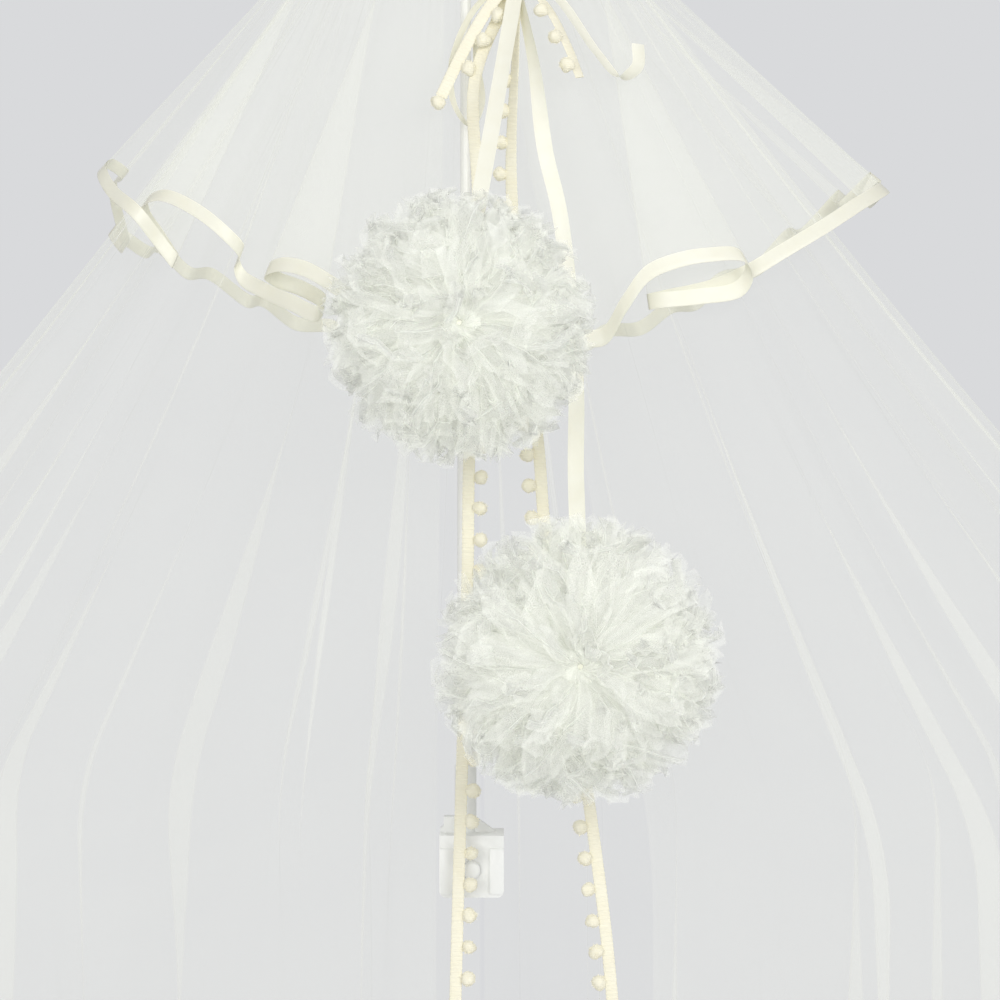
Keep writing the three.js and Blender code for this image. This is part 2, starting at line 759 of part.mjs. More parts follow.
// Points of a strip, as shares of the lower pompom's drop, measured from the middle of the knot.
// The first point, and the last one of a loop, is seated on the knot
function fromKnot(shares, isLoop = false) {
  const last = shares.length - 1;
  return shares.map((share, i) => {
    const point = new THREE.Vector3(...share).multiplyScalar(lowerPompomDrop);
    if (i === 0 || (isLoop && i === last)) point.setLength(knotRadius + stripSeat);
    return point.add(new THREE.Vector3(bowX, knotY, knotZ)).toArray();
  });
}

const sideways = new THREE.Vector3(1, 0, 0);
const foreAndAft = new THREE.Vector3(0, 1, 0);

const loopLeftShares = [
  [-0.017, 0, 0.013], [-0.062, 0, 0.066], [-0.112, 0, 0.069], [-0.127, 0, 0.035],
  [-0.073, 0, 0.012], [-0.021, 0, 0.005],
];
const loopRightShares = [
  [0.017, 0, 0.013], [0.066, 0, 0.069], [0.12, 0, 0.069], [0.135, 0, 0.031], [0.077, 0, 0.01],
  [0.021, 0, 0.004],
];
const hangingLoopShares = [
  [-0.022, 0, -0.002], [-0.069, 0, -0.054], [-0.097, 0, -0.127], [-0.093, 0, -0.189],
  [-0.069, 0, -0.22], [-0.052, 0.002, -0.185], [-0.06, 0.002, -0.116], [-0.056, 0.002, -0.066],
  [-0.02, 0.002, -0.008],
];
const trimTailLeftShares = [
  [-0.0175, -0.005, -0.0135], [-0.044, -0.016, -0.05], [-0.08, -0.024, -0.114],
  [-0.112, -0.025, -0.18],
];
const satinTailRightShares = [
  [0.021, 0.002, -0.005], [0.058, 0.002, -0.027], [0.12, 0.002, -0.112], [0.154, 0.002, -0.147],
  [0.18, 0.002, -0.131], [0.181, 0.002, -0.097],
];
const trimTailRightShares = [
  [0.017, -0.002, -0.013], [0.046, -0.01, -0.046], [0.077, -0.017, -0.108],
  [0.093, -0.021, -0.151],
];
const trimLeftShares = [
  [-0.01, 0.012, -0.019], [-0.062, -0.023, -0.154], [-0.058, -0.023, -0.332],
  [-0.071, -0.023, -0.724], [-0.073, -0.023, -0.88], [-0.081, -0.023, -1.16],
  [-0.091, -0.023, -1.515], [-0.098, -0.023, -1.863],
];
const trimRightShares = [
  [0.002, 0.006, -0.023], [-0.002, -0.023, -0.112], [-0.008, -0.023, -0.319],
  [0.033, -0.023, -0.71], [0.041, -0.023, -0.813], [0.108, -0.023, -1.234],
  [0.141, -0.023, -1.515], [0.16, -0.023, -1.921],
];
const ribbonUpperShares = [
  [-0.002, -0.01, -0.023], [-0.023, -0.093, -0.158], [-0.052, -0.205, -0.34],
  [-0.077, -0.305, -0.494],
];
const ribbonLowerShares = [
  [0.004, -0.002, -0.024], [0.025, -0.039, -0.133], [0.041, -0.056, -0.264],
  [0.062, -0.073, -0.359], [0.081, -0.091, -0.537], [0.085, -0.108, -0.629],
  [0.083, -0.154, -0.726], [0.083, -0.216, -0.801], [0.083, -0.313, -0.954],
];

// Braid with poms woven into one edge, a corner of each pom's facets turned to it
const facetCorner = new THREE.Vector3(-1, 0, 0);
function pompomTrim(shares, steps, edge, firstPom, widthway = sideways) {
  const points = fromKnot(shares);
  let trim = solid(strip(points, braidWidth, braidThickness, widthway, steps));
  const curve = new THREE.CatmullRomCurve3(points.map((point) => new THREE.Vector3(...point)));
  const length = curve.getLength();
  const aside = braidWidth / 2 + pomRadius - pomBite;
  for (let down = firstPom; down < length - pomRadius; down += pomPitch) {
    const middle = curve.getPointAt(down / length);
    const tangent = curve.getTangentAt(down / length);
    const across = widthway.clone().addScaledVector(tangent, -widthway.dot(tangent)).normalize();
    middle.addScaledVector(across, edge * aside);
    const pom = new THREE.SphereGeometry(pomRadius, 5, 3);
    const toBraid = across.multiplyScalar(-edge);
    pom.applyQuaternion(new THREE.Quaternion().setFromUnitVectors(facetCorner, toBraid));
    trim = trim.add(solid(pom.translate(middle.x, middle.y, middle.z)));
  }
  return geometryOf(trim);
}

// A ribbon from the knot, through its pompom, to the pompom's tie, which it reaches from above
const pompomApproach = new THREE.Vector3(0, 3, 4);
function hangingRibbon(shares, tie) {
  const points = fromKnot(shares);
  const standOff = pompomApproach.clone().setLength(pompomTieRadius + 2 * seatGap);
  points.push(standOff.add(tie).toArray());
  return points;
}

// Ball of strips, cut by a hollow at the front that runs in to the tie and by a slot for its ribbon
function pompomBall(radius, middle, ribbon, steps) {
  const ball = new THREE.SphereGeometry(radius, 20, 12).rotateX(quarter);
  const hollow = pompomTieDepth + 2 * pompomTieRadius + overrun;
  const eye = new THREE.CylinderGeometry(pompomTieRadius + seatGap, pompomEyeRadius, hollow, 12);
  eye.translate(0, -radius - overrun + hollow / 2, 0);
  const slot = strip(ribbon, satinWidth + 2 * seatGap, satinThickness + 2 * seatGap, sideways, steps);
  slot.translate(-middle.x, -middle.y, -middle.z);
  return geometryOf(solid(ball).subtract(solid(eye)).subtract(solid(slot)));
}

const root = new THREE.Group();

function place(name, geometry, finish, x = 0, y = 0, z = 0, turn = [0, 0, 0]) {
  const mesh = new THREE.Mesh(geometry, finish);
  mesh.name = name;
  mesh.position.set(x, y, z);
  mesh.rotation.set(...turn);
  root.add(mesh);
  return mesh;
}

// Clamp and its pads
place("clamp_body", clampBody(), finishes.plastic);
const padHalf = clampWidth / 2 - padMargin;
place("seat_pad", boxSpan(
  new THREE.Vector3(-padHalf, boardFront + seatGap, 0),
  new THREE.Vector3(padHalf, boardRear - seatGap, seatPadThickness),
), finishes.rubber);
place("rear_jaw_pad", boxSpan(
  new THREE.Vector3(-padHalf, boardRear, bridgeUnderside - jawDepth + padMargin),
  new THREE.Vector3(padHalf, boardRear + jawPadThickness, -padMargin),
), finishes.rubber);
place("thread_insert", threadInsert(), finishes.brass,
  0, frontJawInner + seatGap + insertFlangeThickness, -screwDrop, [quarter, 0, 0]);
place("clamp_screw", clampScrew(), finishes.plastic, 0, screwTip, -screwDrop, [quarter, 0, 0]);
place("pressure_pad", pressurePad(), finishes.rubber, 0, boardFront, -screwDrop, [quarter, 0, 0]);

// Pole
const socketShank = socketRadius - lowerPoleRadius;
place("socket_thumb_screw", thumbScrew(socketShank), finishes.plastic,
  poleX, lowerPoleRadius + seatGap, bridgeTop + socketScrewHeight, [-quarter, 0, 0]);
place("lower_pole", tube(lowerPoleRadius, lowerPoleWall, bridgeTop + socketFloor + seatGap, lowerPoleTop),
  finishes.enamel, poleX);
place("pole_collar", poleCollar(), finishes.plastic, poleX);
const collarShank = collarRadius - upperPoleRadius;
place("collar_thumb_screw", thumbScrew(collarShank), finishes.plastic,
  poleX, upperPoleRadius + seatGap, (lowerPoleTop + seatGap + collarTop) / 2, [-quarter, 0, 0]);
place("upper_pole", tube(upperPoleRadius, upperPoleWall, upperPoleBottom, hoopHeight - headDrop + headPoleDepth),
  finishes.enamel, poleX);
place("pole_plug", polePlug(), finishes.plastic, poleX);

// Ring
place("hoop_head", hoopHead(), finishes.plastic);
place("hoop", sweptRing(disc(hoopRodRadius, 8), hoopEndGap / 2, 48), finishes.enamel);
place("hoop_screw", ringScrew(), finishes.zinc, poleX, -hoopSetForward, hoopHeight);

// Cloth
place("drape_casing", sweptRing(casingSection(), casingStart, 36), finishes.tulle);
place("drape_left", drapePanel(-1, tulleThickness, drapeRows), finishes.tulle);
place("drape_right", drapePanel(1, tulleThickness, drapeRows), finishes.tulle);
place("drape_hem_left", drapePanel(-1, bindingThickness, drapeHemRows), finishes.satin);
place("drape_hem_right", drapePanel(1, bindingThickness, drapeHemRows), finishes.satin);
place("flounce", flounceShell(tulleThickness, flounceRows), finishes.tulle);
place("flounce_binding", flounceShell(bindingThickness, flounceHemRows), finishes.satin);

// Bow
place("bow_backing", new THREE.CylinderGeometry(bowBackingRadius, bowBackingRadius, bowBackingThickness, smallSides),
  finishes.satin, bowX, knotY + knotRadius + seatGap + bowBackingThickness / 2, knotZ);
place("bow_knot", new THREE.SphereGeometry(knotRadius, 16, 10), finishes.satin, bowX, knotY, knotZ);
place("bow_loop_left", strip(fromKnot(loopLeftShares, true), satinWidth, satinThickness, foreAndAft, 16), finishes.satin);
place("bow_loop_right", strip(fromKnot(loopRightShares, true), satinWidth, satinThickness, foreAndAft, 16), finishes.satin);
place("bow_hanging_loop", strip(fromKnot(hangingLoopShares, true), satinWidth / 2, satinThickness, foreAndAft, 22),
  finishes.satin);
place("bow_trim_tail_left", pompomTrim(trimTailLeftShares, 8, -1, pomPitch, foreAndAft), finishes.braid);
place("bow_satin_tail_right", strip(fromKnot(satinTailRightShares), satinWidth, satinThickness, foreAndAft, 14),
  finishes.satin);
place("bow_trim_tail_right", pompomTrim(trimTailRightShares, 8, -1, pomPitch, foreAndAft), finishes.braid);

// Hanging trims, ribbons and pompoms
place("trim_left", pompomTrim(trimLeftShares, 26, 1, 8 * pomPitch), finishes.braid);
place("trim_right", pompomTrim(trimRightShares, 26, -1, 2 * pomPitch), finishes.braid);

const pompoms = [
  ["upper", ribbonUpperShares, upperPompomSide, upperPompomDrop, upperPompomRadius, 16],
  ["lower", ribbonLowerShares, lowerPompomSide, lowerPompomDrop, lowerPompomRadius, 28],
];
for (const [name, shares, side, drop, radius, steps] of pompoms) {
  const middle = new THREE.Vector3(bowX + side, knotY - pompomForward, knotZ - drop);
  const tie = middle.clone();
  tie.y += pompomTieDepth + pompomTieRadius - radius;
  const ribbon = hangingRibbon(shares, tie);
  place("ribbon_" + name, strip(ribbon, satinWidth, satinThickness, sideways, steps), finishes.satin);
  place("pompom_" + name, pompomBall(radius, middle, ribbon, steps), finishes.pompom, ...middle);
  place("pompom_" + name + "_tie", new THREE.SphereGeometry(pompomTieRadius, 8, 6), finishes.satin, ...tie);
}

export default root;
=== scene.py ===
"""Looks of a cot canopy of white tulle with satin bindings, pompom trims and tulle pompoms.

The cloth is built here as fine sheets in the places of the CAD's plain shells. The clamp, pole and ring
keep their CAD shapes, with softened edges or finer turning. All sizes are in metres in the row frame.
"""

import json
import logging
import math
from dataclasses import dataclass
from enum import Enum
from typing import Sequence

import bmesh
import bpy
import numpy as np
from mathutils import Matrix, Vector

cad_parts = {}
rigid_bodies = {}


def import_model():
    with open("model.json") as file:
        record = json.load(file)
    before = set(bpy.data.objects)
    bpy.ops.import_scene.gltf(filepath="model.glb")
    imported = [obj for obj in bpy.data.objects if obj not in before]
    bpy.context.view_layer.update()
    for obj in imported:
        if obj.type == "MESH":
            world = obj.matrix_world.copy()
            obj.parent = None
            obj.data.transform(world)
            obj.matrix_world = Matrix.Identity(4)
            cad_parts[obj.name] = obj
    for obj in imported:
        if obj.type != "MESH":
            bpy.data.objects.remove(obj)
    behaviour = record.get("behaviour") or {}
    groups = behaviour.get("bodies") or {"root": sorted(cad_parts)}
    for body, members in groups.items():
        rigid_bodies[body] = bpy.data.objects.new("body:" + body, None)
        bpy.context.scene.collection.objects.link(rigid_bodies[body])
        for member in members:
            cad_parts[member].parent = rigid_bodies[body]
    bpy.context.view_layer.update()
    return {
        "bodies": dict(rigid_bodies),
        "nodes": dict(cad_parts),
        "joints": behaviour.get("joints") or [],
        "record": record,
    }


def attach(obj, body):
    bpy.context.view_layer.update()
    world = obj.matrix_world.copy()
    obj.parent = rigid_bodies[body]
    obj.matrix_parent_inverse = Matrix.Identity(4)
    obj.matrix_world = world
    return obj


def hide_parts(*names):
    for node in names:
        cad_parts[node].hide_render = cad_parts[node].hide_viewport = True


logging.basicConfig(level=logging.INFO, format="%(message)s")
log = logging.getLogger("canopy")

MM = 0.001
SEED = 7


class Slot(Enum):
    """Material slots of the record."""

    PLASTIC = "white_plastic"
    ENAMEL = "white_enamel"
    BRASS = "brass"
    ZINC = "zinc"
    RUBBER = "rubber"
    TULLE = "tulle"
    SATIN = "satin"
    BRAID = "braid"
    POMPOM = "pompom_tulle"


class Body(Enum):
    """Bodies that the pieces ride on."""

    CLAMP = "clamp"
    SCREW = "screw"
    SOCKET_SCREW = "socket_screw"
    LOWER_POLE = "lower_pole"
    COLLAR_SCREW = "collar_screw"
    CANOPY = "canopy"
    TRIMS = "trims"
    LOWER_POMPOM = "lower_pompom"
    UPPER_POMPOM = "upper_pompom"


def linear(hex_colour: str) -> tuple[float, float, float, float]:
    """Turns an sRGB hex colour into linear RGBA.

    Args:
        hex_colour: Six hex digits.

    Returns:
        The linear colour with alpha 1.
    """
    parts = [int(hex_colour[i : i + 2], 16) / 255 for i in (0, 2, 4)]
    red, green, blue = (c / 12.92 if c <= 0.04045 else ((c + 0.055) / 1.055) ** 2.4 for c in parts)
    return (red, green, blue, 1.0)


def smoothstep(low: float, high: float, value: np.ndarray) -> np.ndarray:
    """Smooth step from 0 at low to 1 at high."""
    share = np.clip((value - low) / (high - low), 0, 1)
    return share * share * (3 - 2 * share)


def unit(vectors: np.ndarray) -> np.ndarray:
    """Vectors of length 1 along the last axis."""
    return vectors / np.maximum(np.linalg.norm(vectors, axis=-1, keepdims=True), 1e-12)


def value_noise(rng: np.random.Generator, knots: int, places: np.ndarray) -> np.ndarray:
    """Smooth random values between -1 and 1 along a line.

    Args:
        rng: Seeded generator.
        knots: Number of random values over the range 0 to 1.
        places: Where to read the line, from 0 to 1.

    Returns:
        One value for each place.
    """
    values = rng.uniform(-1, 1, knots + 2)
    at = np.clip(places, 0, 1) * knots
    low = np.floor(at).astype(int)
    share = at - low
    share = share * share * (3 - 2 * share)
    return values[low] * (1 - share) + values[low + 1] * share


# Materials


@dataclass(frozen=True)
class NetFinish:
    """Tulle: how dense one layer is, its colour, an emission of painted light and the size of its net."""

    name: str
    colour: str
    cover: float
    edge_cover: float
    glow: float
    painted_light_emission: float = 0.0
    pitch: float = 1.1 * MM


@dataclass(frozen=True)
class ClothFinish:
    """Woven cloth: colour, a painted shading colour, gloss and the size of its weave."""

    name: str
    colour: str
    painted_shading_colour: str
    roughness: float
    sheen: float
    anisotropy: float
    pitch: float
    relief: float
    glow: float


@dataclass(frozen=True)
class HardFinish:
    """Hard parts: colour, gloss and metalness."""

    name: str
    colour: str
    roughness: float
    metallic: float = 0.0
    coat: float = 0.0
    grain: float = 400.0


# Half the width of a thread, as a share of the net's pitch
THREAD_SHARE = 0.12
# Nylon net is knitted. Each layer hides a tenth of what is behind it, and more where it is seen at a slant
NETS = {
    # The last number of each net is the strength of an emission, painted light that stands in for light passed on
    # many times between layers.
    Slot.TULLE: NetFinish("nylon_tulle_hexagonal_net", "F8F9F0", 0.105, 0.5, 0.5, 0.24),
    Slot.POMPOM: NetFinish("nylon_tulle_cut_strips", "FEFFFA", 0.25, 0.3, 0.34, 0.115),
}
# Satin is woven with long threads, so it shines; the braid is matt cotton. Both weaves are drawn coarser
# than they are, to show
# The third entry of each cloth is a painted shading colour, darker and warmer, as the cloth looks where light does
# not reach it.
CLOTHS = {
    Slot.SATIN: ClothFinish(
        "polyester_satin_ribbon", "F4F4EA", "EAE6CF", 0.34, 0.35, 0.55, 0.28 * MM, 0.12, 0.12
    ),
    Slot.BRAID: ClothFinish(
        "cotton_braid_with_poms", "FCFAEC", "F3EBCC", 0.85, 0.5, 0.0, 0.7 * MM, 0.5, 0.12
    ),
}
# Moulded plastic, enamel on drawn tube, turned brass, zinc plate and rubber
HARDS = {
    Slot.PLASTIC: HardFinish("moulded_abs_white", "F1F2F0", 0.36, 0.0, 0.1),
    Slot.ENAMEL: HardFinish("steel_tube_white_enamel", "F2F2EF", 0.28, 0.0, 0.35),
    Slot.BRASS: HardFinish("turned_brass", "C9A85C", 0.32, 1.0),
    Slot.ZINC: HardFinish("zinc_plated_steel", "C9CBCC", 0.35, 1.0),
    Slot.RUBBER: HardFinish("moulded_soft_rubber", "DEDEDA", 0.85),
}


class NodeTree:
    """The nodes of a material or world, with short ways to add and join them."""

    def __init__(self, owner: bpy.types.ID, output: str = "ShaderNodeOutputMaterial") -> None:
        """Empties the nodes and adds the output.

        Args:
            owner: A material or world.
            output: Type of its output node.
        """
        owner.use_nodes = True
        self.owner = owner
        self.tree = owner.node_tree
        self.tree.nodes.clear()
        self.output = self.tree.nodes.new(output)

    def add(self, kind: str, inputs: dict | None = None, **settings: object) -> bpy.types.Node:
        """Adds a node.

        Args:
            kind: The node's type.
            inputs: Values or output sockets, by the input's name or number.
            settings: Attributes of the node.

        Returns:
            The new node.
        """
        node = self.tree.nodes.new(kind)
        for key, value in settings.items():
            setattr(node, key, value)
        for key, value in (inputs or {}).items():
            if isinstance(value, bpy.types.NodeSocket):
                self.tree.links.new(value, node.inputs[key])
            else:
                node.inputs[key].default_value = value
        return node

    def maths(self, operation: str, *values: object) -> bpy.types.NodeSocket:
        """Adds a maths node and returns its result."""
        return self.add("ShaderNodeMath", dict(enumerate(values)), operation=operation).outputs[0]

    def blend(self, share: object, first: object, second: object) -> bpy.types.NodeSocket:
        """Adds a mix of two colours and returns it."""
        return self.add("ShaderNodeMix", {0: share, 6: first, 7: second}, data_type="RGBA").outputs[2]

    def layer(self, share: object, first: bpy.types.Node, second: bpy.types.Node) -> bpy.types.Node:
        """Adds a mix of two shaders."""
        return self.add("ShaderNodeMixShader", {0: share, 1: first.outputs[0], 2: second.outputs[0]})

    def finish(self, shader: bpy.types.Node) -> bpy.types.ID:
        """Joins the shader to the output and returns the material or world."""
        self.tree.links.new(shader.outputs[0], self.output.inputs["Surface"])
        return self.owner


def darker(colour: Sequence[float], share: float) -> tuple[float, ...]:
    """A linear colour brought down to a share of its brightness."""
    return tuple(c * share for c in colour[:3]) + (1.0,)


def net_material(spec: NetFinish) -> bpy.types.Material:
    """Tulle: white threads round open cells, so each layer hides a little and folds show as bright lines.

    Args:
        spec: The finish of the net.

    Returns:
        The material.
    """
    nodes = NodeTree(bpy.data.materials.new(spec.name))
    place = nodes.add("ShaderNodeUVMap", uv_map="metres").outputs[0]
    cells = nodes.add(
        "ShaderNodeTexVoronoi", {"Vector": place, "Scale": 1 / spec.pitch}, feature="DISTANCE_TO_EDGE"
    )
    threads = nodes.maths("LESS_THAN", cells.outputs["Distance"], THREAD_SHARE)
    uneven = nodes.add("ShaderNodeTexNoise", {"Vector": place, "Scale": 14.0, "Detail": 2.0}).outputs["Fac"]
    facing = nodes.add("ShaderNodeLayerWeight", {"Blend": 0.35}).outputs["Facing"]
    steep = nodes.maths("POWER", facing, 3.0)
    grain = nodes.maths("MULTIPLY_ADD", threads, 0.3 * spec.cover, 0.88 * spec.cover)
    patch = nodes.maths("MULTIPLY_ADD", uneven, 0.5, 0.75)
    flat = nodes.maths("MULTIPLY", grain, patch)
    alpha = nodes.maths("MULTIPLY_ADD", steep, spec.edge_cover, flat)
    colour = linear(spec.colour)
    # The emission is painted light: it stands for light that white strips pass on many more times than a render
    # follows it
    face = nodes.add(
        "ShaderNodeBsdfPrincipled",
        {
            "Base Color": colour, "Roughness": 0.8, "Sheen Weight": 0.25, "Sheen Roughness": 0.4, "IOR": 1.5,
            "Emission Color": colour, "Emission Strength": spec.painted_light_emission,
        },
    )
    through = nodes.add("ShaderNodeBsdfTranslucent", {"Color": colour})
    cloth = nodes.layer(spec.glow, face, through)
    return nodes.finish(nodes.layer(alpha, nodes.add("ShaderNodeBsdfTransparent"), cloth))


def cloth_material(spec: ClothFinish) -> bpy.types.Material:
    """Satin or braid: threads across the width in relief, a painted shading colour, darker and warmer, blended in
    at random patches and in the weave's hollows, a silky sheen.

    Args:
        spec: The finish of the woven cloth.

    Returns:
        The material.
    """
    nodes = NodeTree(bpy.data.materials.new(spec.name))
    place = nodes.add("ShaderNodeUVMap", uv_map="metres").outputs[0]
    weave = nodes.add(
        "ShaderNodeTexWave",
        {"Vector": place, "Scale": 1 / (spec.pitch * 2 * math.pi), "Distortion": 0.6, "Detail": 1.0},
        bands_direction="Y",
    ).outputs["Fac"]
    soft = nodes.add("ShaderNodeTexNoise", {"Vector": place, "Scale": 60.0, "Detail": 3.0}).outputs["Fac"]
    fibre = nodes.add("ShaderNodeTexNoise", {"Vector": place, "Scale": 900.0, "Detail": 2.0}).outputs["Fac"]
    # Painted shading: the darker second colour comes in by random patches and in the weave's hollows.
    depth = nodes.maths("MULTIPLY_ADD", soft, 0.5, nodes.maths("MULTIPLY", weave, 0.15))
    colour = nodes.blend(depth, linear(spec.colour), linear(spec.painted_shading_colour))
    relief = nodes.maths("MULTIPLY_ADD", fibre, 0.4, weave)
    bump = nodes.add("ShaderNodeBump", {"Strength": spec.relief, "Distance": spec.pitch / 2, "Height": relief})
    face = nodes.add(
        "ShaderNodeBsdfPrincipled",
        {
            "Base Color": colour, "Roughness": spec.roughness, "Anisotropic": spec.anisotropy,
            "Specular IOR Level": 0.45, "Sheen Weight": spec.sheen, "Sheen Roughness": 0.35,
            "Normal": bump.outputs[0],
        },
    )
    return nodes.finish(nodes.layer(spec.glow, face, nodes.add("ShaderNodeBsdfTranslucent", {"Color": colour})))


def hard_material(spec: HardFinish) -> bpy.types.Material:
    """Plastic, enamel, metal or rubber with a faint unevenness in its gloss and skin.

    Args:
        spec: The finish of the hard part.

    Returns:
        The material.
    """
    nodes = NodeTree(bpy.data.materials.new(spec.name))
    place = nodes.add("ShaderNodeTexCoord").outputs["Object"]
    broad = nodes.add("ShaderNodeTexNoise", {"Vector": place, "Scale": 40.0, "Detail": 3.0}).outputs["Fac"]
    fine = nodes.add("ShaderNodeTexNoise", {"Vector": place, "Scale": spec.grain, "Detail": 2.0}).outputs["Fac"]
    base = linear(spec.colour)
    colour = nodes.blend(broad, base, darker(base, 0.94))
    gloss = nodes.maths("MULTIPLY_ADD", broad, 0.12, spec.roughness - 0.06)
    bump = nodes.add("ShaderNodeBump", {"Strength": 0.08, "Distance": 0.1 * MM, "Height": fine})
    face = nodes.add(
        "ShaderNodeBsdfPrincipled",
        {
            "Base Color": colour, "Roughness": gloss, "Metallic": spec.metallic, "Coat Weight": spec.coat,
            "Coat Roughness": 0.15, "Normal": bump.outputs[0],
        },
    )
    return nodes.finish(face)


def stage_material(name: str, colour: str) -> bpy.types.Material:
    """Matt paint for the floor, with a faint mottle.

    Args:
        name: The material's name.
        colour: Six hex digits.

    Returns:
        The material.
    """
    nodes = NodeTree(bpy.data.materials.new(name))
    place = nodes.add("ShaderNodeTexCoord").outputs["Object"]
    mottle = nodes.add("ShaderNodeTexNoise", {"Vector": place, "Scale": 3.0}).outputs["Fac"]
    base = linear(colour)
    paint = nodes.blend(mottle, base, darker(base, 0.97))
    return nodes.finish(nodes.add("ShaderNodeBsdfPrincipled", {"Base Color": paint, "Roughness": 0.9}))


class Wardrobe:
    """Makes each finish once and hands it out by slot."""

    def __init__(self) -> None:
        """Builds every material."""
        self.finishes = {slot: net_material(spec) for slot, spec in NETS.items()}
        self.finishes |= {slot: cloth_material(spec) for slot, spec in CLOTHS.items()}
        self.finishes |= {slot: hard_material(spec) for slot, spec in HARDS.items()}

    def dress(self, piece: bpy.types.Object, slot: Slot, body: Body, nodes: Sequence[str]) -> bpy.types.Object:
        """Gives a piece the material of its slot and its body, and hides the CAD nodes that it stands in for.

        Args:
            piece: The finished object.
            slot: Its material slot.
            body: The body that it rides on.
            nodes: CAD nodes that it replaces.

        Returns:
            The same object.
        """
        piece.data.materials.clear()
        piece.data.materials.append(self.finishes[slot])
        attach(piece, body.value)
        if nodes:
            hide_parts(*nodes)
        log.info("%s: %d faces", piece.name, len(piece.data.polygons))
        return piece


# Meshes


def linked(name: str, data: bpy.types.ID) -> bpy.types.Object:
    """Makes an object of a mesh, lamp or camera and links it to the scene."""
    piece = bpy.data.objects.new(name, data)
    bpy.context.scene.collection.objects.link(piece)
    return piece


def mesh_object(
    name: str, points: np.ndarray, faces: Sequence[Sequence[int]], uvs: np.ndarray | None = None
) -> bpy.types.Object:
    """Makes an object from points and faces, at the world's origin.

    Args:
        name: The object's name.
        points: Array of points, n by 3.
        faces: Corner numbers of each face.
        uvs: A UV in metres for each point, n by 2.

    Returns:
        The linked object.
    """
    mesh = bpy.data.meshes.new(name)
    mesh.from_pydata(points.tolist(), [], [list(face) for face in faces])
    if uvs is not None:
        layer = mesh.uv_layers.new(name="metres")
        corners = np.zeros(len(mesh.loops), np.int32)
        mesh.loops.foreach_get("vertex_index", corners)
        layer.data.foreach_set("uv", uvs[corners].astype(np.float32).ravel())
    mesh.polygons.foreach_set("use_smooth", [True] * len(mesh.polygons))
    mesh.update()
    return linked(name, mesh)


def grid_faces(rows: int, columns: int, closed: bool = False) -> np.ndarray:
    """Quads of a grid of rows by columns of points.

    Args:
        rows: Number of rows of points.
        columns: Number of points in a row.
        closed: Whether the last column joins the first.

    Returns:
        Corner numbers, four to a face.
    """
    across = np.arange(columns if closed else columns - 1)
    down = np.arange(rows - 1)[:, None]
    a = down * columns + across
    b = down * columns + (across + 1) % columns
    return np.stack([a, b, b + columns, a + columns], -1).reshape(-1, 4)


def grid_uvs(grid: np.ndarray) -> np.ndarray:
    """UVs in metres for a grid of points.

    Args:
        grid: Points, rows by columns by 3.

    Returns:
        The length along each row and down the middle column, one pair for each point.
    """
    along = np.zeros(grid.shape[:2])
    along[:, 1:] = np.cumsum(np.linalg.norm(np.diff(grid, axis=1), axis=-1), axis=1)
    along -= along[:, -1:] / 2
    middle = grid.shape[1] // 2
    down = np.zeros(grid.shape[0])
    down[1:] = np.cumsum(np.linalg.norm(np.diff(grid[:, middle], axis=0), axis=-1))
    return np.stack([along, np.repeat(down[:, None], grid.shape[1], 1)], -1).reshape(-1, 2)


def sheet_object(name: str, grid: np.ndarray) -> bpy.types.Object:
    """Makes an open sheet from a grid of points, rows by columns by 3."""
    rows, columns = grid.shape[:2]
    return mesh_object(name, grid.reshape(-1, 3), grid_faces(rows, columns), grid_uvs(grid))


def turned(
    name: str, profile: Sequence[tuple[float, float]], middle: tuple[float, float], segments: int = 64
) -> bpy.types.Object:
    """Turns a closed profile about a vertical axis.

    Args:
        name: The object's name.
        profile: Points of (radius, height), going round the section.
        middle: X and Y of the axis.
        segments: Facets round the axis.

    Returns:
        The linked object.
    """
    form = bmesh.new()
    ring = [form.verts.new((middle[0] + radius, middle[1], height)) for radius, height in profile]
    edges = [form.edges.new((ring[i - 1], ring[i])) for i in range(len(ring))]
    bmesh.ops.spin(
        form, geom=ring + edges, cent=(*middle, 0), axis=(0, 0, 1), angle=2 * math.pi, steps=segments,
        use_merge=True, use_normal_flip=False, use_duplicate=False,
    )
    bmesh.ops.remove_doubles(form, verts=form.verts, dist=0.01 * MM)
    return form_object(name, form)


def form_object(name: str, form: bmesh.types.BMesh, crease: float = 35) -> bpy.types.Object:
    """Makes an object of a bmesh, its normals turned out.

    Args:
        name: The object's name.
        form: The bmesh, which is freed.
        crease: Angle in degrees above which an edge is sharp.

    Returns:
        The linked object.
    """
    bmesh.ops.recalc_face_normals(form, faces=form.faces)
    for face in form.faces:
        face.smooth = True
    for edge in form.edges:
        edge.smooth = not (edge.is_manifold and edge.calc_face_angle(0) > math.radians(crease))
    mesh = bpy.data.meshes.new(name)
    form.to_mesh(mesh)
    form.free()
    return linked(name, mesh)


def softened(name: str, node: bpy.types.Object, width: float) -> bpy.types.Object:
    """A copy of a CAD node with its sharp edges rounded.

    Args:
        name: Name of the copy.
        node: The CAD object.
        width: Size of the rounding.

    Returns:
        The linked copy.
    """
    form = bmesh.new()
    form.from_mesh(node.data)
    bmesh.ops.remove_doubles(form, verts=form.verts, dist=0.01 * MM)
    bmesh.ops.dissolve_limit(form, angle_limit=math.radians(2), verts=form.verts, edges=form.edges)
    sharp = [edge for edge in form.edges if edge.is_manifold and edge.calc_face_angle(0) > math.radians(30)]
    bmesh.ops.bevel(
        form, geom=sharp, offset=width, offset_type="OFFSET", segments=2, profile=0.5, affect="EDGES",
        clamp_overlap=True, material=-1,
    )
    return form_object(name, form, crease=50)


# Curves


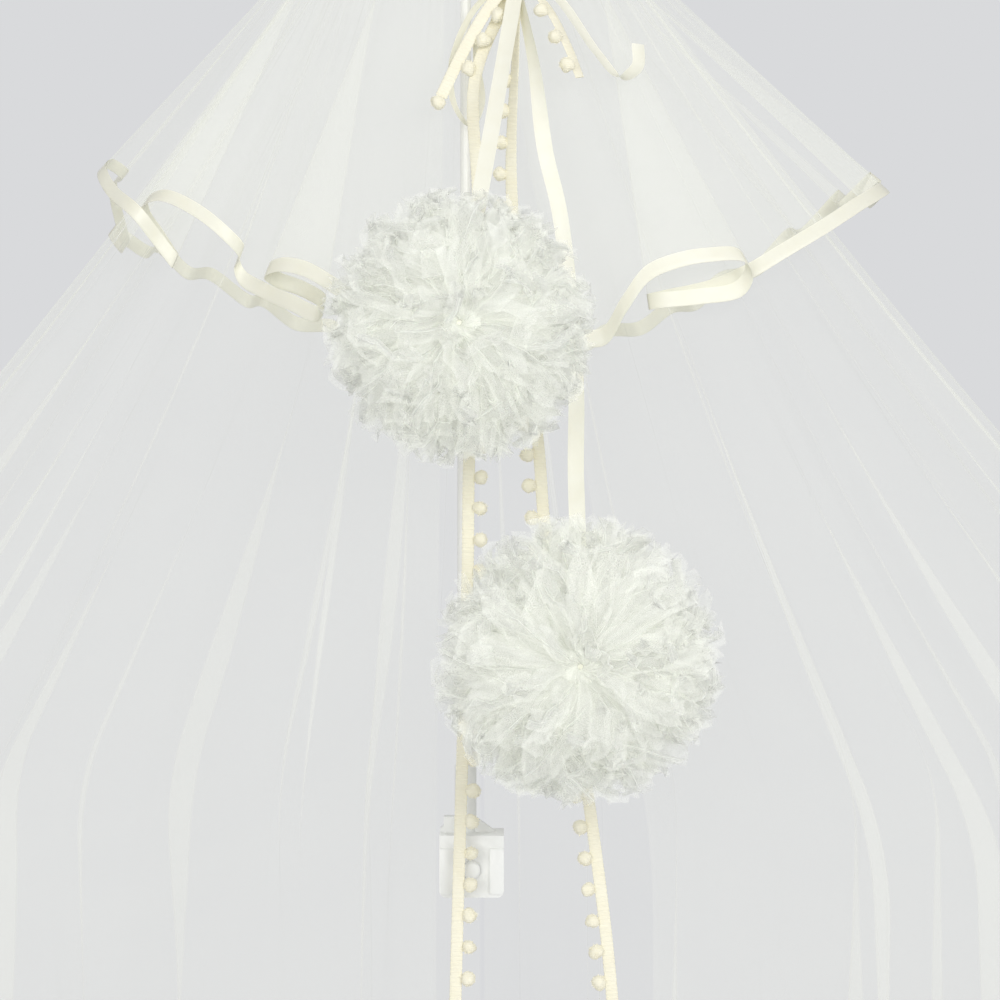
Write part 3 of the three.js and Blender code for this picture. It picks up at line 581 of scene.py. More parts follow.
class Route:
    """A smooth line through points, read evenly by its length."""

    def __init__(self, points: np.ndarray, closed: bool = False, fine: int = 60) -> None:
        """Fits the line.

        Args:
            points: Points to pass through, n by 3.
            closed: Whether the line joins up.
            fine: Samples between two points.
        """
        points = np.asarray(points, float)
        if closed:
            padded = np.vstack([points[-1:], points, points[:2]])
        else:
            padded = np.vstack([2 * points[:1] - points[1:2], points, 2 * points[-1:] - points[-2:-1]])
        share = np.linspace(0, 1, fine, endpoint=False)[:, None]
        pieces = []
        for p0, p1, p2, p3 in zip(padded, padded[1:], padded[2:], padded[3:]):
            d0, d1, d2 = (math.sqrt(max(np.linalg.norm(b - a), 1e-9)) for a, b in ((p0, p1), (p1, p2), (p2, p3)))
            leave = ((p1 - p0) / d0 - (p2 - p0) / (d0 + d1) + (p2 - p1) / d1) * d1
            reach = ((p2 - p1) / d1 - (p3 - p1) / (d1 + d2) + (p3 - p2) / d2) * d1
            cubic = 2 * p1 - 2 * p2 + leave + reach
            square = -3 * p1 + 3 * p2 - 2 * leave - reach
            pieces.append(p1 + leave * share + square * share**2 + cubic * share**3)
        pieces.append(padded[-2][None])
        self.samples = np.vstack(pieces)
        self.lengths = np.concatenate([[0], np.cumsum(np.linalg.norm(np.diff(self.samples, axis=0), axis=1))])
        self.total = float(self.lengths[-1])

    def at(self, distances: np.ndarray) -> np.ndarray:
        """Points at distances along the line."""
        return np.stack([np.interp(distances, self.lengths, self.samples[:, axis]) for axis in range(3)], -1)

    def tangents(self, distances: np.ndarray, reach: float = 0.5 * MM) -> np.ndarray:
        """Directions of the line at distances along it."""
        low = np.clip(distances - reach, 0, self.total)
        high = np.clip(distances + reach, 0, self.total)
        return unit(self.at(high) - self.at(low))


def frames(
    route: Route, distances: np.ndarray, widthway: np.ndarray
) -> tuple[np.ndarray, np.ndarray, np.ndarray]:
    """Middle, width and normal directions of a strip at distances along its route.

    Args:
        route: The strip's middle line.
        distances: Where to read it.
        widthway: The direction near which its width is held.

    Returns:
        Points, directions across and normals.
    """
    middle = route.at(distances)
    tangent = route.tangents(distances)
    across = unit(widthway - tangent * (tangent @ widthway)[:, None])
    return middle, across, np.cross(tangent, across)


def rolled(
    across: np.ndarray, normal: np.ndarray, angle: np.ndarray
) -> tuple[np.ndarray, np.ndarray]:
    """The width and face directions of a strip, rolled about its length by an angle in radians."""
    return across * np.cos(angle) + normal * np.sin(angle), normal * np.cos(angle) - across * np.sin(angle)


# Sizes of the object, in metres


@dataclass(frozen=True)
class Ring:
    """The ring and the pole that holds it."""

    radius: float = 0.125
    height: float = 0.720
    x: float = -0.005
    y: float = 0.113
    rod: float = 0.003
    head_half: float = 0.016


@dataclass(frozen=True)
class Foot:
    """A level outline with rounded corners that a piece of cloth is spread over."""

    x: float
    y: float
    half_width: float
    half_depth: float
    exponent: float

    def points(self, shares: np.ndarray) -> np.ndarray:
        """Points at shares of the way round, from the front middle, right first."""
        angle = np.linspace(0, 2 * math.pi, 4001)

        def bulge(value: np.ndarray) -> np.ndarray:
            """A sine or cosine pushed out towards the corners."""
            return np.sign(value) * np.abs(value) ** (2 / self.exponent)

        x = self.x + self.half_width * bulge(np.sin(angle))
        y = self.y - self.half_depth * bulge(np.cos(angle))
        length = np.concatenate([[0], np.cumsum(np.hypot(np.diff(x), np.diff(y)))])
        wanted = np.mod(shares, 1) * length[-1]
        return np.stack([np.interp(wanted, length, x), np.interp(wanted, length, y)], -1)

    def girth(self) -> float:
        """Length of the outline."""
        shares = np.linspace(0, 1, 2001)[:-1]
        points = self.points(shares)
        return float(np.linalg.norm(np.roll(points, -1, 0) - points, axis=1).sum())


RING = Ring()
RAIL = Foot(0.005, 0.200, 0.730, 0.235, 2.6)
FLOUNCE_FOOT = Foot(0.018, 0.164, 0.340, 0.202, 3.2)


@dataclass(frozen=True)
class DrapeSize:
    """One panel of the drape, from its free front edge to the seam at the back."""

    name: str
    side: int
    gap: float
    seed: int
    folds: int = 10
    fold_top: float = 0.0016
    fold_hem: float = 0.017
    fold_front: float = 0.004
    small_folds: int = 34
    small_depth: float = 0.0035
    gathers: int = 44
    gather_depth: float = 0.0009
    length: float = 1.6
    seam: float = 0.002
    rail_bend: float = 0.06
    sag: float = 0.018
    sag_from: float = 0.03
    sag_full: float = 0.13
    top_drop: float = 0.0055
    tape: float = 0.0125


class DrapePanel:
    """A tulle panel gathered on the ring, spread over the cot's top and bound with satin at its hem."""

    COLUMNS = 760
    ROWS = 120
    TOP_ROWS = 12
    TOP_PART = 0.12

    def __init__(self, size: DrapeSize, wardrobe: Wardrobe) -> None:
        """Keeps the sizes and the finishes."""
        self.size = size
        self.wardrobe = wardrobe
        self.rng = np.random.default_rng(SEED + size.seed)
        self.across = np.linspace(0, 1, self.COLUMNS)
        self._lay_folds()

    def _lay_folds(self) -> None:
        """Chooses how far each main fold turns over, and where the small folds and gathers lie."""
        size, across = self.size, self.across
        self.phase = 2 * math.pi * size.folds * across + 0.5 * np.sin(6 * math.pi * across)
        self.turn = 0.62 + 0.55 * value_noise(self.rng, 2 * size.folds, across)
        self.lean = 0.75 * value_noise(self.rng, size.folds, across)
        self.swell = 3 * value_noise(self.rng, size.folds, across)
        self.small_phase = self._warped(size.small_folds, 0.7)
        self.small = np.clip(0.45 + 0.75 * value_noise(self.rng, size.folds, across), 0, 1)
        self.gather = self._warped(size.gathers, 0.6)

    def _warped(self, count: int, uneven: float) -> np.ndarray:
        """Phases of a number of waves of uneven width."""
        steps = np.cumsum(1 + uneven * value_noise(self.rng, count // 2, self.across))
        return 2 * math.pi * count * steps / steps[-1]

    def _base(self, shares: np.ndarray, tops: np.ndarray, lengths: np.ndarray) -> np.ndarray:
        """Points of the unfolded panel.

        Args:
            shares: Where each line down the panel crosses the rail, as shares of the way round.
            tops: Where it starts on the ring, as shares of the way round.
            lengths: Lengths down from the ring.

        Returns:
            One row of points for each length.
        """
        size = self.size
        angle = 2 * math.pi * tops
        top = np.stack([
            RING.x + RING.radius * np.sin(angle),
            RING.y - RING.radius * np.cos(angle),
            np.full(len(tops), RING.height - size.top_drop),
        ], -1)
        rail = np.column_stack([RAIL.points(shares), np.zeros(len(shares))])
        reach = np.linalg.norm(rail - top, axis=1)
        straight = (rail - top) / reach[:, None]
        sags = smoothstep(size.sag_from, size.sag_full, np.abs(tops))[:, None]
        inward = -unit(straight * [1, 1, 0]) * size.sag * sags

        def slanted(length: np.ndarray) -> np.ndarray:
            """Points on the sagging slant, at a length down each line."""
            share = (length / reach)[:, None]
            return top + straight * np.reshape(length, (-1, 1)) + inward * 4 * share * (1 - share)

        before = slanted(reach - size.rail_bend)
        after = rail - np.array([0, 0, size.rail_bend])
        rows = []
        for length in lengths:
            past = (length - reach)[:, None]
            share = np.clip((past + size.rail_bend) / (2 * size.rail_bend), 0, 1)
            onto, off = before * (1 - share) + rail * share, rail * (1 - share) + after * share
            bend = onto * (1 - share) + off * share
            fall = rail - past * np.array([0, 0, 1])
            slant = slanted(np.full(len(reach), length))
            low = np.where(past >= size.rail_bend, fall, bend)
            rows.append(np.where(past <= -size.rail_bend, slant, low))
        return np.array(rows)

    def grid(self, lengths: np.ndarray) -> np.ndarray:
        """Points of the folded panel.

        Args:
            lengths: Lengths down from the ring.

        Returns:
            One row of points for each length.
        """
        size, across = self.size, self.across
        girth = RAIL.girth()
        ring_girth = 2 * math.pi * RING.radius
        first = RING.head_half / ring_girth
        tops = size.side * (first + across * (0.5 - (RING.head_half + size.seam) / ring_girth))
        shares = size.side * (size.gap / girth + across * (0.5 - (size.gap + size.seam) / girth))
        base = self._base(shares, tops, lengths)
        step = np.gradient(base, axis=1) * [1, 1, 0]
        stretch = np.linalg.norm(step, axis=-1)
        along = step / np.maximum(stretch, 1e-9)[..., None]
        out = np.stack([along[..., 1], -along[..., 0], np.zeros_like(stretch)], -1) * size.side
        down = (lengths / size.length)[:, None]
        deep = size.fold_front + (size.fold_hem - size.fold_front) * smoothstep(0, 0.2, across)
        depth = size.fold_top + (deep - size.fold_top) * down**0.8
        edge = smoothstep(0, 0.04, across) * smoothstep(0, 0.03, 1 - across)
        scale = stretch / np.gradient(self.phase) * edge
        opened = 0.35 + 0.65 * smoothstep(0.05, 0.45, down)
        swell = 0.8 + 0.65 * np.sin(8 * down + self.swell)
        turned_over = self.turn * swell * np.sin(2 * self.phase) + self.lean * np.cos(self.phase)
        small = size.small_depth * self.small * smoothstep(0.02, 0.55, down)
        fine = size.gather_depth * (1 - smoothstep(0.01, 0.2, down))
        rise = (
            depth * np.cos(self.phase)
            + small * np.sin(self.small_phase) * (0.3 + 0.7 * edge)
            + fine * np.sin(self.gather)
        )
        slip = scale * opened * turned_over + small * 0.9 * np.sin(2 * self.small_phase) * edge
        return base + along * slip[..., None] + out * rise[..., None]

    def build(self) -> bpy.types.Object:
        """Builds the panel and its hem tape, and returns the panel."""
        size = self.size
        end = size.length - size.tape
        near = np.linspace(0, self.TOP_PART, self.TOP_ROWS, endpoint=False)
        grid = self.grid(np.concatenate([near, np.linspace(self.TOP_PART, end, self.ROWS - self.TOP_ROWS)]))
        panel = sheet_object(f"drape_{size.name}_tulle", grid)
        self.wardrobe.dress(panel, Slot.TULLE, Body.CANOPY, [f"drape_{size.name}"])
        hem = tape_on(self.grid(np.array([end - 0.5 * MM, size.length])))
        tape = sheet_object(f"drape_{size.name}_hem_satin", hem)
        self.wardrobe.dress(tape, Slot.SATIN, Body.CANOPY, [f"drape_hem_{size.name}"])
        return panel


def tape_on(edge: np.ndarray, thickness: float = 0.7 * MM) -> np.ndarray:
    """A tape folded over the edge of a cloth.

    Args:
        edge: Two rows of points: where the tape begins, and the end of the cloth.
        thickness: From the tape's front to its back.

    Returns:
        A grid of points: down the front of the tape, round the end and up the back.
    """
    begin, end = edge
    down = end - begin
    along = unit(np.gradient(begin, axis=0))
    normal = unit(np.cross(along, down))
    shares = (0, 0.35, 0.7, 0.96, 1, 1, 0.96, 0.7, 0.35, 0)
    offsets = (0.5, 0.5, 0.5, 0.45, 0.2, -0.2, -0.45, -0.5, -0.5, -0.5)
    columns = [begin + down * share + normal * thickness * offset for share, offset in zip(shares, offsets)]
    return np.stack(columns, 1)


# Turns of the flounce's hem at the front, in millimetres: its bottom edge from the front middle to the right
HEM_RIGHT = (
    (12, -40, 384), (34, -45, 384), (58, -38, 384), (80, -45, 385), (103, -42, 386), (119, -46, 411),
    (137, -48, 435), (160, -48, 445), (187, -45, 450), (211, -37, 450), (218, -27, 438), (210, -21, 425),
    (178, -21, 419), (148, -23, 416), (138, -18, 415), (154, -15, 419), (189, -15, 427), (219, -16, 440),
    (244, -15, 455), (280, -6, 477), (310, 12, 497), (333, 40, 512), (338, 75, 518),
)
# and from the left side to the front middle
HEM_LEFT = (
    (-305, 128, 528), (-290, 95, 531), (-299, 72, 537), (-302, 48, 529), (-289, 20, 508), (-266, -4, 488),
    (-250, 6, 467), (-237, 12, 450), (-249, 17, 469), (-261, 12, 487), (-260, 0, 496), (-243, -16, 500),
    (-214, -26, 486), (-191, -28, 467), (-181, -19, 455), (-186, -8, 447), (-182, -6, 436), (-163, -18, 424),
    (-140, -34, 413), (-120, -38, 404), (-115, -28, 413), (-132, -16, 425), (-153, -14, 433), (-161, -23, 439),
    (-149, -36, 443), (-130, -44, 439), (-112, -46, 429), (-92, -38, 415), (-72, -36, 395), (-52, -45, 392),
    (-30, -37, 386), (-10, -45, 386),
)


@dataclass(frozen=True)
class FlounceSize:
    """The flounce, gathered on the ring over the drape."""

    set_out: float = 0.0072
    front_length: float = 0.3465
    back_side_length: float = 0.305
    tape: float = 0.0125
    right_share: float = 0.262
    left_share: float = 0.735
    back_folds: int = 15
    fold_depth: float = 0.012
    gathers: int = 70
    gather_depth: float = 0.0007


class Flounce:
    """The short top layer of tulle, its hem bound with cream satin that turns and folds."""

    COLUMNS = 1500
    ROWS = 48
    FINE = 24

    def __init__(self, size: FlounceSize, wardrobe: Wardrobe) -> None:
        """Keeps the sizes and the finishes."""
        self.size = size
        self.wardrobe = wardrobe
        self.rng = np.random.default_rng(SEED)

    def _back(self) -> np.ndarray:
        """Turns of the hem round the back, from the right side to the left, as points."""
        size = self.size
        count = 2 * size.back_folds
        shares = np.linspace(size.right_share + 0.02, size.left_share - 0.02, count + 1)
        foot = FLOUNCE_FOOT.points(shares)
        step = unit(FLOUNCE_FOOT.points(shares + 0.002) - FLOUNCE_FOOT.points(shares - 0.002))
        out = np.stack([step[:, 1], -step[:, 0]], -1)
        swing = size.fold_depth * np.where(np.arange(count + 1) % 2, 1, -1)
        swing = swing * self.rng.uniform(0.6, 1, count + 1)
        slip = self.rng.uniform(-0.006, 0.006, count + 1)
        foot = foot + out * swing[:, None] + step * slip[:, None]
        angle = 2 * math.pi * shares
        reach = size.front_length + (size.back_side_length - size.front_length) * np.sin(angle) ** 2
        ring = self._ring(shares)
        run = np.linalg.norm(foot - ring[:, :2], axis=1)
        height = RING.height - np.sqrt(reach**2 - np.minimum(run, 0.95 * reach) ** 2)
        return np.column_stack([foot, height])

    def _ring(self, shares: np.ndarray) -> np.ndarray:
        """Points where the flounce leaves the ring."""
        angle = 2 * math.pi * shares
        reach = RING.radius + self.size.set_out
        x = RING.x + reach * np.sin(angle)
        y = RING.y - reach * np.cos(angle)
        return np.stack([x, y, np.full(len(shares), RING.height)], -1)

    def _lines(self) -> tuple[np.ndarray, np.ndarray]:
        """Points where each line down the cloth starts on the ring, and where it ends at the hem."""
        size = self.size
        right = np.array(HEM_RIGHT) * MM
        left = np.array(HEM_LEFT) * MM
        back = self._back()
        route = Route(np.vstack([right, back, left]), closed=True, fine=self.FINE)
        marks = route.lengths[:: self.FINE]
        at_right = marks[len(right) - 1]
        at_left = marks[len(right) + len(back)]
        distances = np.linspace(0, route.total, self.COLUMNS)
        anchors = np.array([0, at_right, at_left, route.total])
        starts = [0.008, size.right_share - 0.012, size.left_share + 0.03, 1.008]
        return self._ring(np.interp(distances, anchors, starts)), route.at(distances)

    def grid(self, downs: np.ndarray) -> np.ndarray:
        """Points of the flounce.

        Args:
            downs: Shares of the way down from the ring to the end of its tape.

        Returns:
            One row of points for each share.
        """
        ring, hem = self._lines()
        base = ring[None] * (1 - downs[:, None, None]) + hem[None] * downs[:, None, None]
        step = np.gradient(base, axis=1)
        normal = unit(np.cross(step, (hem - ring)[None]))
        places = np.linspace(0, 1, self.COLUMNS)
        uneven = np.cumsum(1 + 0.6 * value_noise(self.rng, self.size.gathers // 2, places))
        gather = np.sin(2 * math.pi * self.size.gathers * uneven / uneven[-1])
        depth = self.size.gather_depth * (1 - smoothstep(0.05, 0.7, downs))[:, None] * gather
        return base + normal * depth[..., None]

    def build(self) -> bpy.types.Object:
        """Builds the flounce and its binding, and returns the flounce."""
        size = self.size
        ring, hem = self._lines()
        reach = float(np.linalg.norm(hem - ring, axis=1).mean())
        end = 1 - size.tape / reach
        whole = self.grid(np.concatenate([np.linspace(0, end, self.ROWS), [end, 1]]))
        grid = whole[: self.ROWS]
        cloth = sheet_object("flounce_tulle", grid)
        self.wardrobe.dress(cloth, Slot.TULLE, Body.CANOPY, ["flounce"])
        tape_grid = tape_on(whole[-2:])
        tape = sheet_object("flounce_binding_satin", tape_grid)
        self.wardrobe.dress(tape, Slot.SATIN, Body.CANOPY, ["flounce_binding"])
        return cloth


# Bow, ribbons and trims: routes from the middle of the knot, in shares of the lower pompom's drop

KNOT = np.array([0.035, -0.0363, 0.669])
SIDEWAYS = np.array([1.0, 0.0, 0.0])
FORE_AND_AFT = np.array([0.0, 1.0, 0.0])
HALF_FRONT = np.array([0.75, 0.66, 0.0])
LOOP_WIDTHWAY = np.array([0.2, 0.75, 0.63])
KNOT_SEAT = 10.7 * MM
DROP = 0.518


def from_knot(shares: Sequence[tuple[float, float, float]], is_loop: bool = False) -> np.ndarray:
    """Points of a strip that starts on the knot.

    Args:
        shares: Its points in shares of the lower pompom's drop.
        is_loop: Whether it comes back to the knot.

    Returns:
        Its points in metres, with what meets the knot seated on it.
    """
    points = np.array(shares, float) * DROP
    points[0] *= KNOT_SEAT / np.linalg.norm(points[0])
    if is_loop:
        points[-1] *= KNOT_SEAT / np.linalg.norm(points[-1])
    return points + KNOT


LOOP_LEFT = (
    (-0.017, 0, 0.013), (-0.062, 0, 0.066), (-0.112, 0, 0.069), (-0.127, 0, 0.035), (-0.073, 0, 0.012),
    (-0.021, 0, 0.005),
)
LOOP_RIGHT = (
    (0.017, 0, 0.013), (0.066, 0, 0.069), (0.12, 0, 0.069), (0.135, 0, 0.031), (0.077, 0, 0.01),
    (0.021, 0, 0.004),
)
HANGING_LOOP = (
    (-0.022, 0, -0.002), (-0.069, 0, -0.054), (-0.097, 0, -0.127), (-0.093, 0, -0.189), (-0.069, 0, -0.22),
    (-0.052, 0.002, -0.185), (-0.06, 0.002, -0.116), (-0.056, 0.002, -0.066), (-0.02, 0.002, -0.008),
)
TRIM_TAIL_LEFT = (
    (-0.0175, -0.005, -0.0135), (-0.044, -0.016, -0.05), (-0.08, -0.024, -0.114), (-0.112, -0.025, -0.18),
)
SATIN_TAIL_RIGHT = (
    (0.021, 0.002, -0.005), (0.058, 0.002, -0.027), (0.12, 0.002, -0.112), (0.154, 0.002, -0.147),
    (0.18, 0.002, -0.131), (0.181, 0.002, -0.097),
)
TRIM_TAIL_RIGHT = (
    (0.017, -0.002, -0.013), (0.046, -0.01, -0.046), (0.077, -0.017, -0.108), (0.093, -0.021, -0.151),
)
TRIM_LEFT = (
    (-0.01, 0.012, -0.019), (-0.062, -0.023, -0.154), (-0.058, -0.023, -0.332), (-0.071, -0.023, -0.724),
    (-0.073, -0.023, -0.88), (-0.081, -0.023, -1.16), (-0.091, -0.023, -1.515), (-0.098, -0.023, -1.863),
)
TRIM_RIGHT = (
    (0.002, 0.006, -0.023), (-0.002, -0.023, -0.112), (-0.008, -0.023, -0.319), (0.033, -0.023, -0.71),
    (0.041, -0.023, -0.813), (0.108, -0.023, -1.234), (0.141, -0.023, -1.515), (0.16, -0.023, -1.921),
)
RIBBON_UPPER = (
    (-0.002, -0.01, -0.023), (-0.023, -0.093, -0.158), (-0.052, -0.205, -0.34), (-0.077, -0.305, -0.494),
)
RIBBON_LOWER = (
    (0.004, -0.002, -0.024), (0.025, -0.039, -0.133), (0.041, -0.056, -0.264), (0.062, -0.073, -0.359),
    (0.081, -0.091, -0.537), (0.085, -0.108, -0.629), (0.083, -0.154, -0.726), (0.083, -0.216, -0.801),
    (0.083, -0.313, -0.954),
)


@dataclass(frozen=True)
class RibbonSize:
    """A satin ribbon: its route, width and where it rides."""

    node: str
    points: np.ndarray
    body: Body = Body.CANOPY
    widthway: np.ndarray = None
    width: float = 0.012
    cup: float = 0.0006
    turned: float = 0.0
    turned_share: float = 0.25


class Ribbon:
    """A thin satin ribbon with slightly curled edges."""

    COLUMNS = 7
    LEAN = 0.18
    LEAN_EVERY = 0.07
    NARROWEST_SHEET = 10 * MM

    def __init__(self, size: RibbonSize, wardrobe: Wardrobe) -> None:
        """Keeps the sizes and the finishes."""
        self.size = size
        self.wardrobe = wardrobe

    def build(self) -> bpy.types.Object:
        size = self.size
        route = Route(size.points)
        distances = np.linspace(0, route.total, max(24, int(route.total / (2 * MM))))
        widthway = FORE_AND_AFT if size.widthway is None else size.widthway
        middle, across, normal = frames(route, distances, widthway)
        rng = np.random.default_rng(SEED + len(size.node))
        knots = max(2, int(route.total / self.LEAN_EVERY))
        lean = self.LEAN * value_noise(rng, knots, distances / route.total)[:, None]
        lean *= smoothstep(0, 0.03, distances)[:, None]
        lean += size.turned * (1 - smoothstep(0, size.turned_share, distances / route.total))[:, None]
        across, normal = rolled(across, normal, lean)
        place = np.linspace(-1, 1, self.COLUMNS)
        grid = (
            middle[:, None]
            + across[:, None] * (place * size.width / 2)[None, :, None]
            + normal[:, None] * (size.cup * place**2)[None, :, None]
        )
        ribbon = sheet_object(f"{size.node}_satin", grid)
        self.wardrobe.dress(ribbon, Slot.SATIN, size.body, [size.node])
        return ribbon


@dataclass(frozen=True)
class TrimSize:
    """A braid with poms along one edge."""

    node: str
    points: np.ndarray
    body: Body
    edge: int
    first: float
    widthway: np.ndarray
    seed: int
    width: float = 0.0095
    thickness: float = 0.0012
    pom: float = 0.0062
    pitch: float = 0.024
    rib: float = 0.0034
    turned: float = 0.0
    turned_share: float = 0.25
    has_end_pom: bool = False


class PomTrim:
    """Ribbed braid with soft poms held to its edge."""

    ROW_STEP = 0.55 * MM
    SECTION = (
        (-1, 0.35), (-0.8, 1), (0, 1), (0.8, 1), (1, 0.35), (1, -0.35), (0.8, -1), (0, -1), (-0.8, -1), (-1, -0.35),
    )
    LUMPS = 14
    FIBRES = 110
    FIBRE_HALF_WIDTH = 0.35
    POM_HALF = 6 * MM
    POM_SINK = 1.6 * MM

    def __init__(self, size: TrimSize, wardrobe: Wardrobe) -> None:
        """Keeps the sizes and the finishes."""
        self.size = size
        self.wardrobe = wardrobe
        self.rng = np.random.default_rng(SEED + size.seed)

    def _frames(self, route: Route, distances: np.ndarray) -> tuple[np.ndarray, np.ndarray, np.ndarray]:
        """Middle, widthway and face of the braid, which is turned where it leaves the knot."""
        size = self.size
        middle, across, normal = frames(route, distances, size.widthway)
        turn = size.turned * (1 - smoothstep(0, size.turned_share, distances / route.total))[:, None]
        return middle, *rolled(across, normal, turn)

    def _braid(self, route: Route) -> tuple[np.ndarray, np.ndarray, np.ndarray]:
        """Points, faces and UVs of the ribbed braid."""
        size = self.size
        rows = int(route.total / self.ROW_STEP)
        distances = np.linspace(0, route.total, rows)
        middle, across, normal = self._frames(route, distances)
        rib = np.abs(np.sin(math.pi * distances / size.rib))
        columns = []
        for u, v in self.SECTION:
            width = size.width / 2 * (1 - 0.09 * (1 - rib) * abs(u))
            relief = size.thickness / 2 * (0.55 + 0.45 * rib)
            columns.append(middle + across * (u * width)[:, None] + normal * (v * relief)[:, None])
        grid = np.stack(columns, 1)
        return grid.reshape(-1, 3), grid_faces(rows, len(columns), closed=True), grid_uvs(grid)

    def _pom(self, middle: np.ndarray) -> tuple[np.ndarray, np.ndarray]:
        """One pom: a lumpy core with short fibres standing out.

        Args:
            middle: The middle of the pom.

        Returns:
            Its points and triangles.
        """
        size = self.size
        form = bmesh.new()
        bmesh.ops.create_icosphere(form, subdivisions=3, radius=1)
        points = np.array([vertex.co for vertex in form.verts])
        faces = np.array([[vertex.index for vertex in face.verts] for face in form.faces])
        form.free()
        lump = np.zeros(len(points))
        for _ in range(self.LUMPS):
            peak = unit(self.rng.normal(size=3))
            lump += 0.09 * np.exp(-(((1 - points @ peak) * 7) ** 2))
        size_now = size.pom * self.rng.uniform(0.93, 1.05)
        core = middle + points * ((0.82 + lump) * size_now)[:, None]
        count = self.FIBRES
        ways = unit(self.rng.normal(size=(count, 3)))
        sides = unit(np.cross(ways, self.rng.normal(size=(count, 3)))) * self.FIBRE_HALF_WIDTH * MM
        foot = middle + ways * size_now * 0.8
        tip = middle + ways * (size_now * self.rng.uniform(0.98, 1.16, (count, 1)))
        tufts = np.stack([foot - sides, foot + sides, tip], 1).reshape(-1, 3)
        tuft_faces = np.arange(count * 3).reshape(-1, 3) + len(core)
        return np.vstack([core, tufts]), np.vstack([faces, tuft_faces])

    def build(self) -> bpy.types.Object:
        """Builds the braid and its poms as one piece, and returns it."""
        size = self.size
        route = Route(size.points)
        points, faces, uvs = self._braid(route)
        all_points, all_faces, all_uvs = [points], [tuple(face) for face in faces], [uvs]
        count = len(points)
        aside = size.width / 2 + self.POM_HALF - self.POM_SINK
        places = list(np.arange(size.first, route.total - self.POM_HALF, size.pitch))
        if size.has_end_pom:
            places.append(route.total)
        for down in places:
            middle, across, _ = self._frames(route, np.array([down]))
            spot = middle[0] + across[0] * size.edge * aside
            if down == route.total:
                spot = middle[0] + route.tangents(np.array([down]))[0] * 0.8 * size.pom
            pom, triangles = self._pom(spot)
            all_points.append(pom)
            all_faces += [tuple(face) for face in triangles + count]
            all_uvs.append((pom - spot)[:, [0, 2]] + down)
            count += len(pom)
        trim = mesh_object(f"{size.node}_braid", np.vstack(all_points), all_faces, np.vstack(all_uvs))
        return self.wardrobe.dress(trim, Slot.BRAID, size.body, [size.node])


class Bow:
    """The bow's knot with its wrapped turns, its loops and its tails."""

    KNOT_RADIUS = 9.9 * MM

    def __init__(self, wardrobe: Wardrobe) -> None:
        """Keeps the finishes."""
        self.wardrobe = wardrobe

    def _knot(self) -> bpy.types.Object:
        """A ball of satin pinched into folds."""
        rows, columns = 48, 96
        polar = np.linspace(0.02, math.pi - 0.02, rows)[:, None]
        round_it = np.linspace(0, 2 * math.pi, columns)[None]
        pinch = 1 - 0.07 * np.abs(np.sin(4 * round_it + 1.5 * np.cos(polar))) * np.sin(polar)
        radius = self.KNOT_RADIUS * pinch
        x = radius * np.sin(polar) * np.cos(round_it)
        z = radius * np.sin(polar) * np.sin(round_it)
        y = radius * np.cos(polar) * np.ones_like(round_it)
        return sheet_object("bow_knot_satin", np.stack([x, y, z], -1) + KNOT)

    def build(self) -> None:
        """Builds every piece of the bow."""
        self.wardrobe.dress(self._knot(), Slot.SATIN, Body.CANOPY, ["bow_knot"])
        strips = (
            RibbonSize("bow_loop_left", from_knot(LOOP_LEFT, True), widthway=LOOP_WIDTHWAY),
            RibbonSize("bow_loop_right", from_knot(LOOP_RIGHT, True), widthway=LOOP_WIDTHWAY),
            RibbonSize(
                "bow_hanging_loop", from_knot(HANGING_LOOP, True), widthway=HALF_FRONT, width=0.006, cup=0.0003
            ),
            RibbonSize("bow_satin_tail_right", from_knot(SATIN_TAIL_RIGHT), widthway=HALF_FRONT),
        )
        for strip in strips:
            Ribbon(strip, self.wardrobe).build()
        tails = (
            TrimSize(
                "bow_trim_tail_left", from_knot(TRIM_TAIL_LEFT), Body.CANOPY, 1, 0.024, SIDEWAYS, 3,
                has_end_pom=True,
            ),
            TrimSize("bow_trim_tail_right", from_knot(TRIM_TAIL_RIGHT), Body.CANOPY, -1, 0.024, HALF_FRONT, 4),
        )
        for tail in tails:
            PomTrim(tail, self.wardrobe).build()


@dataclass(frozen=True)
class PompomSize:
    """A ball of cut tulle strips, tied in the middle, its eye to the front."""

    name: str
    middle: tuple[float, float, float]
    radius: float
    tilt: tuple[float, float, float]
    seed: int
    body: Body
    route: tuple
    ribbon_turned: float = 0.0
    tie_depth: float = 0.046
    tie: float = 0.005
    strips: int = 900
    eye_strips: int = 150
    width: float = 0.028
    curl: float = 0.45


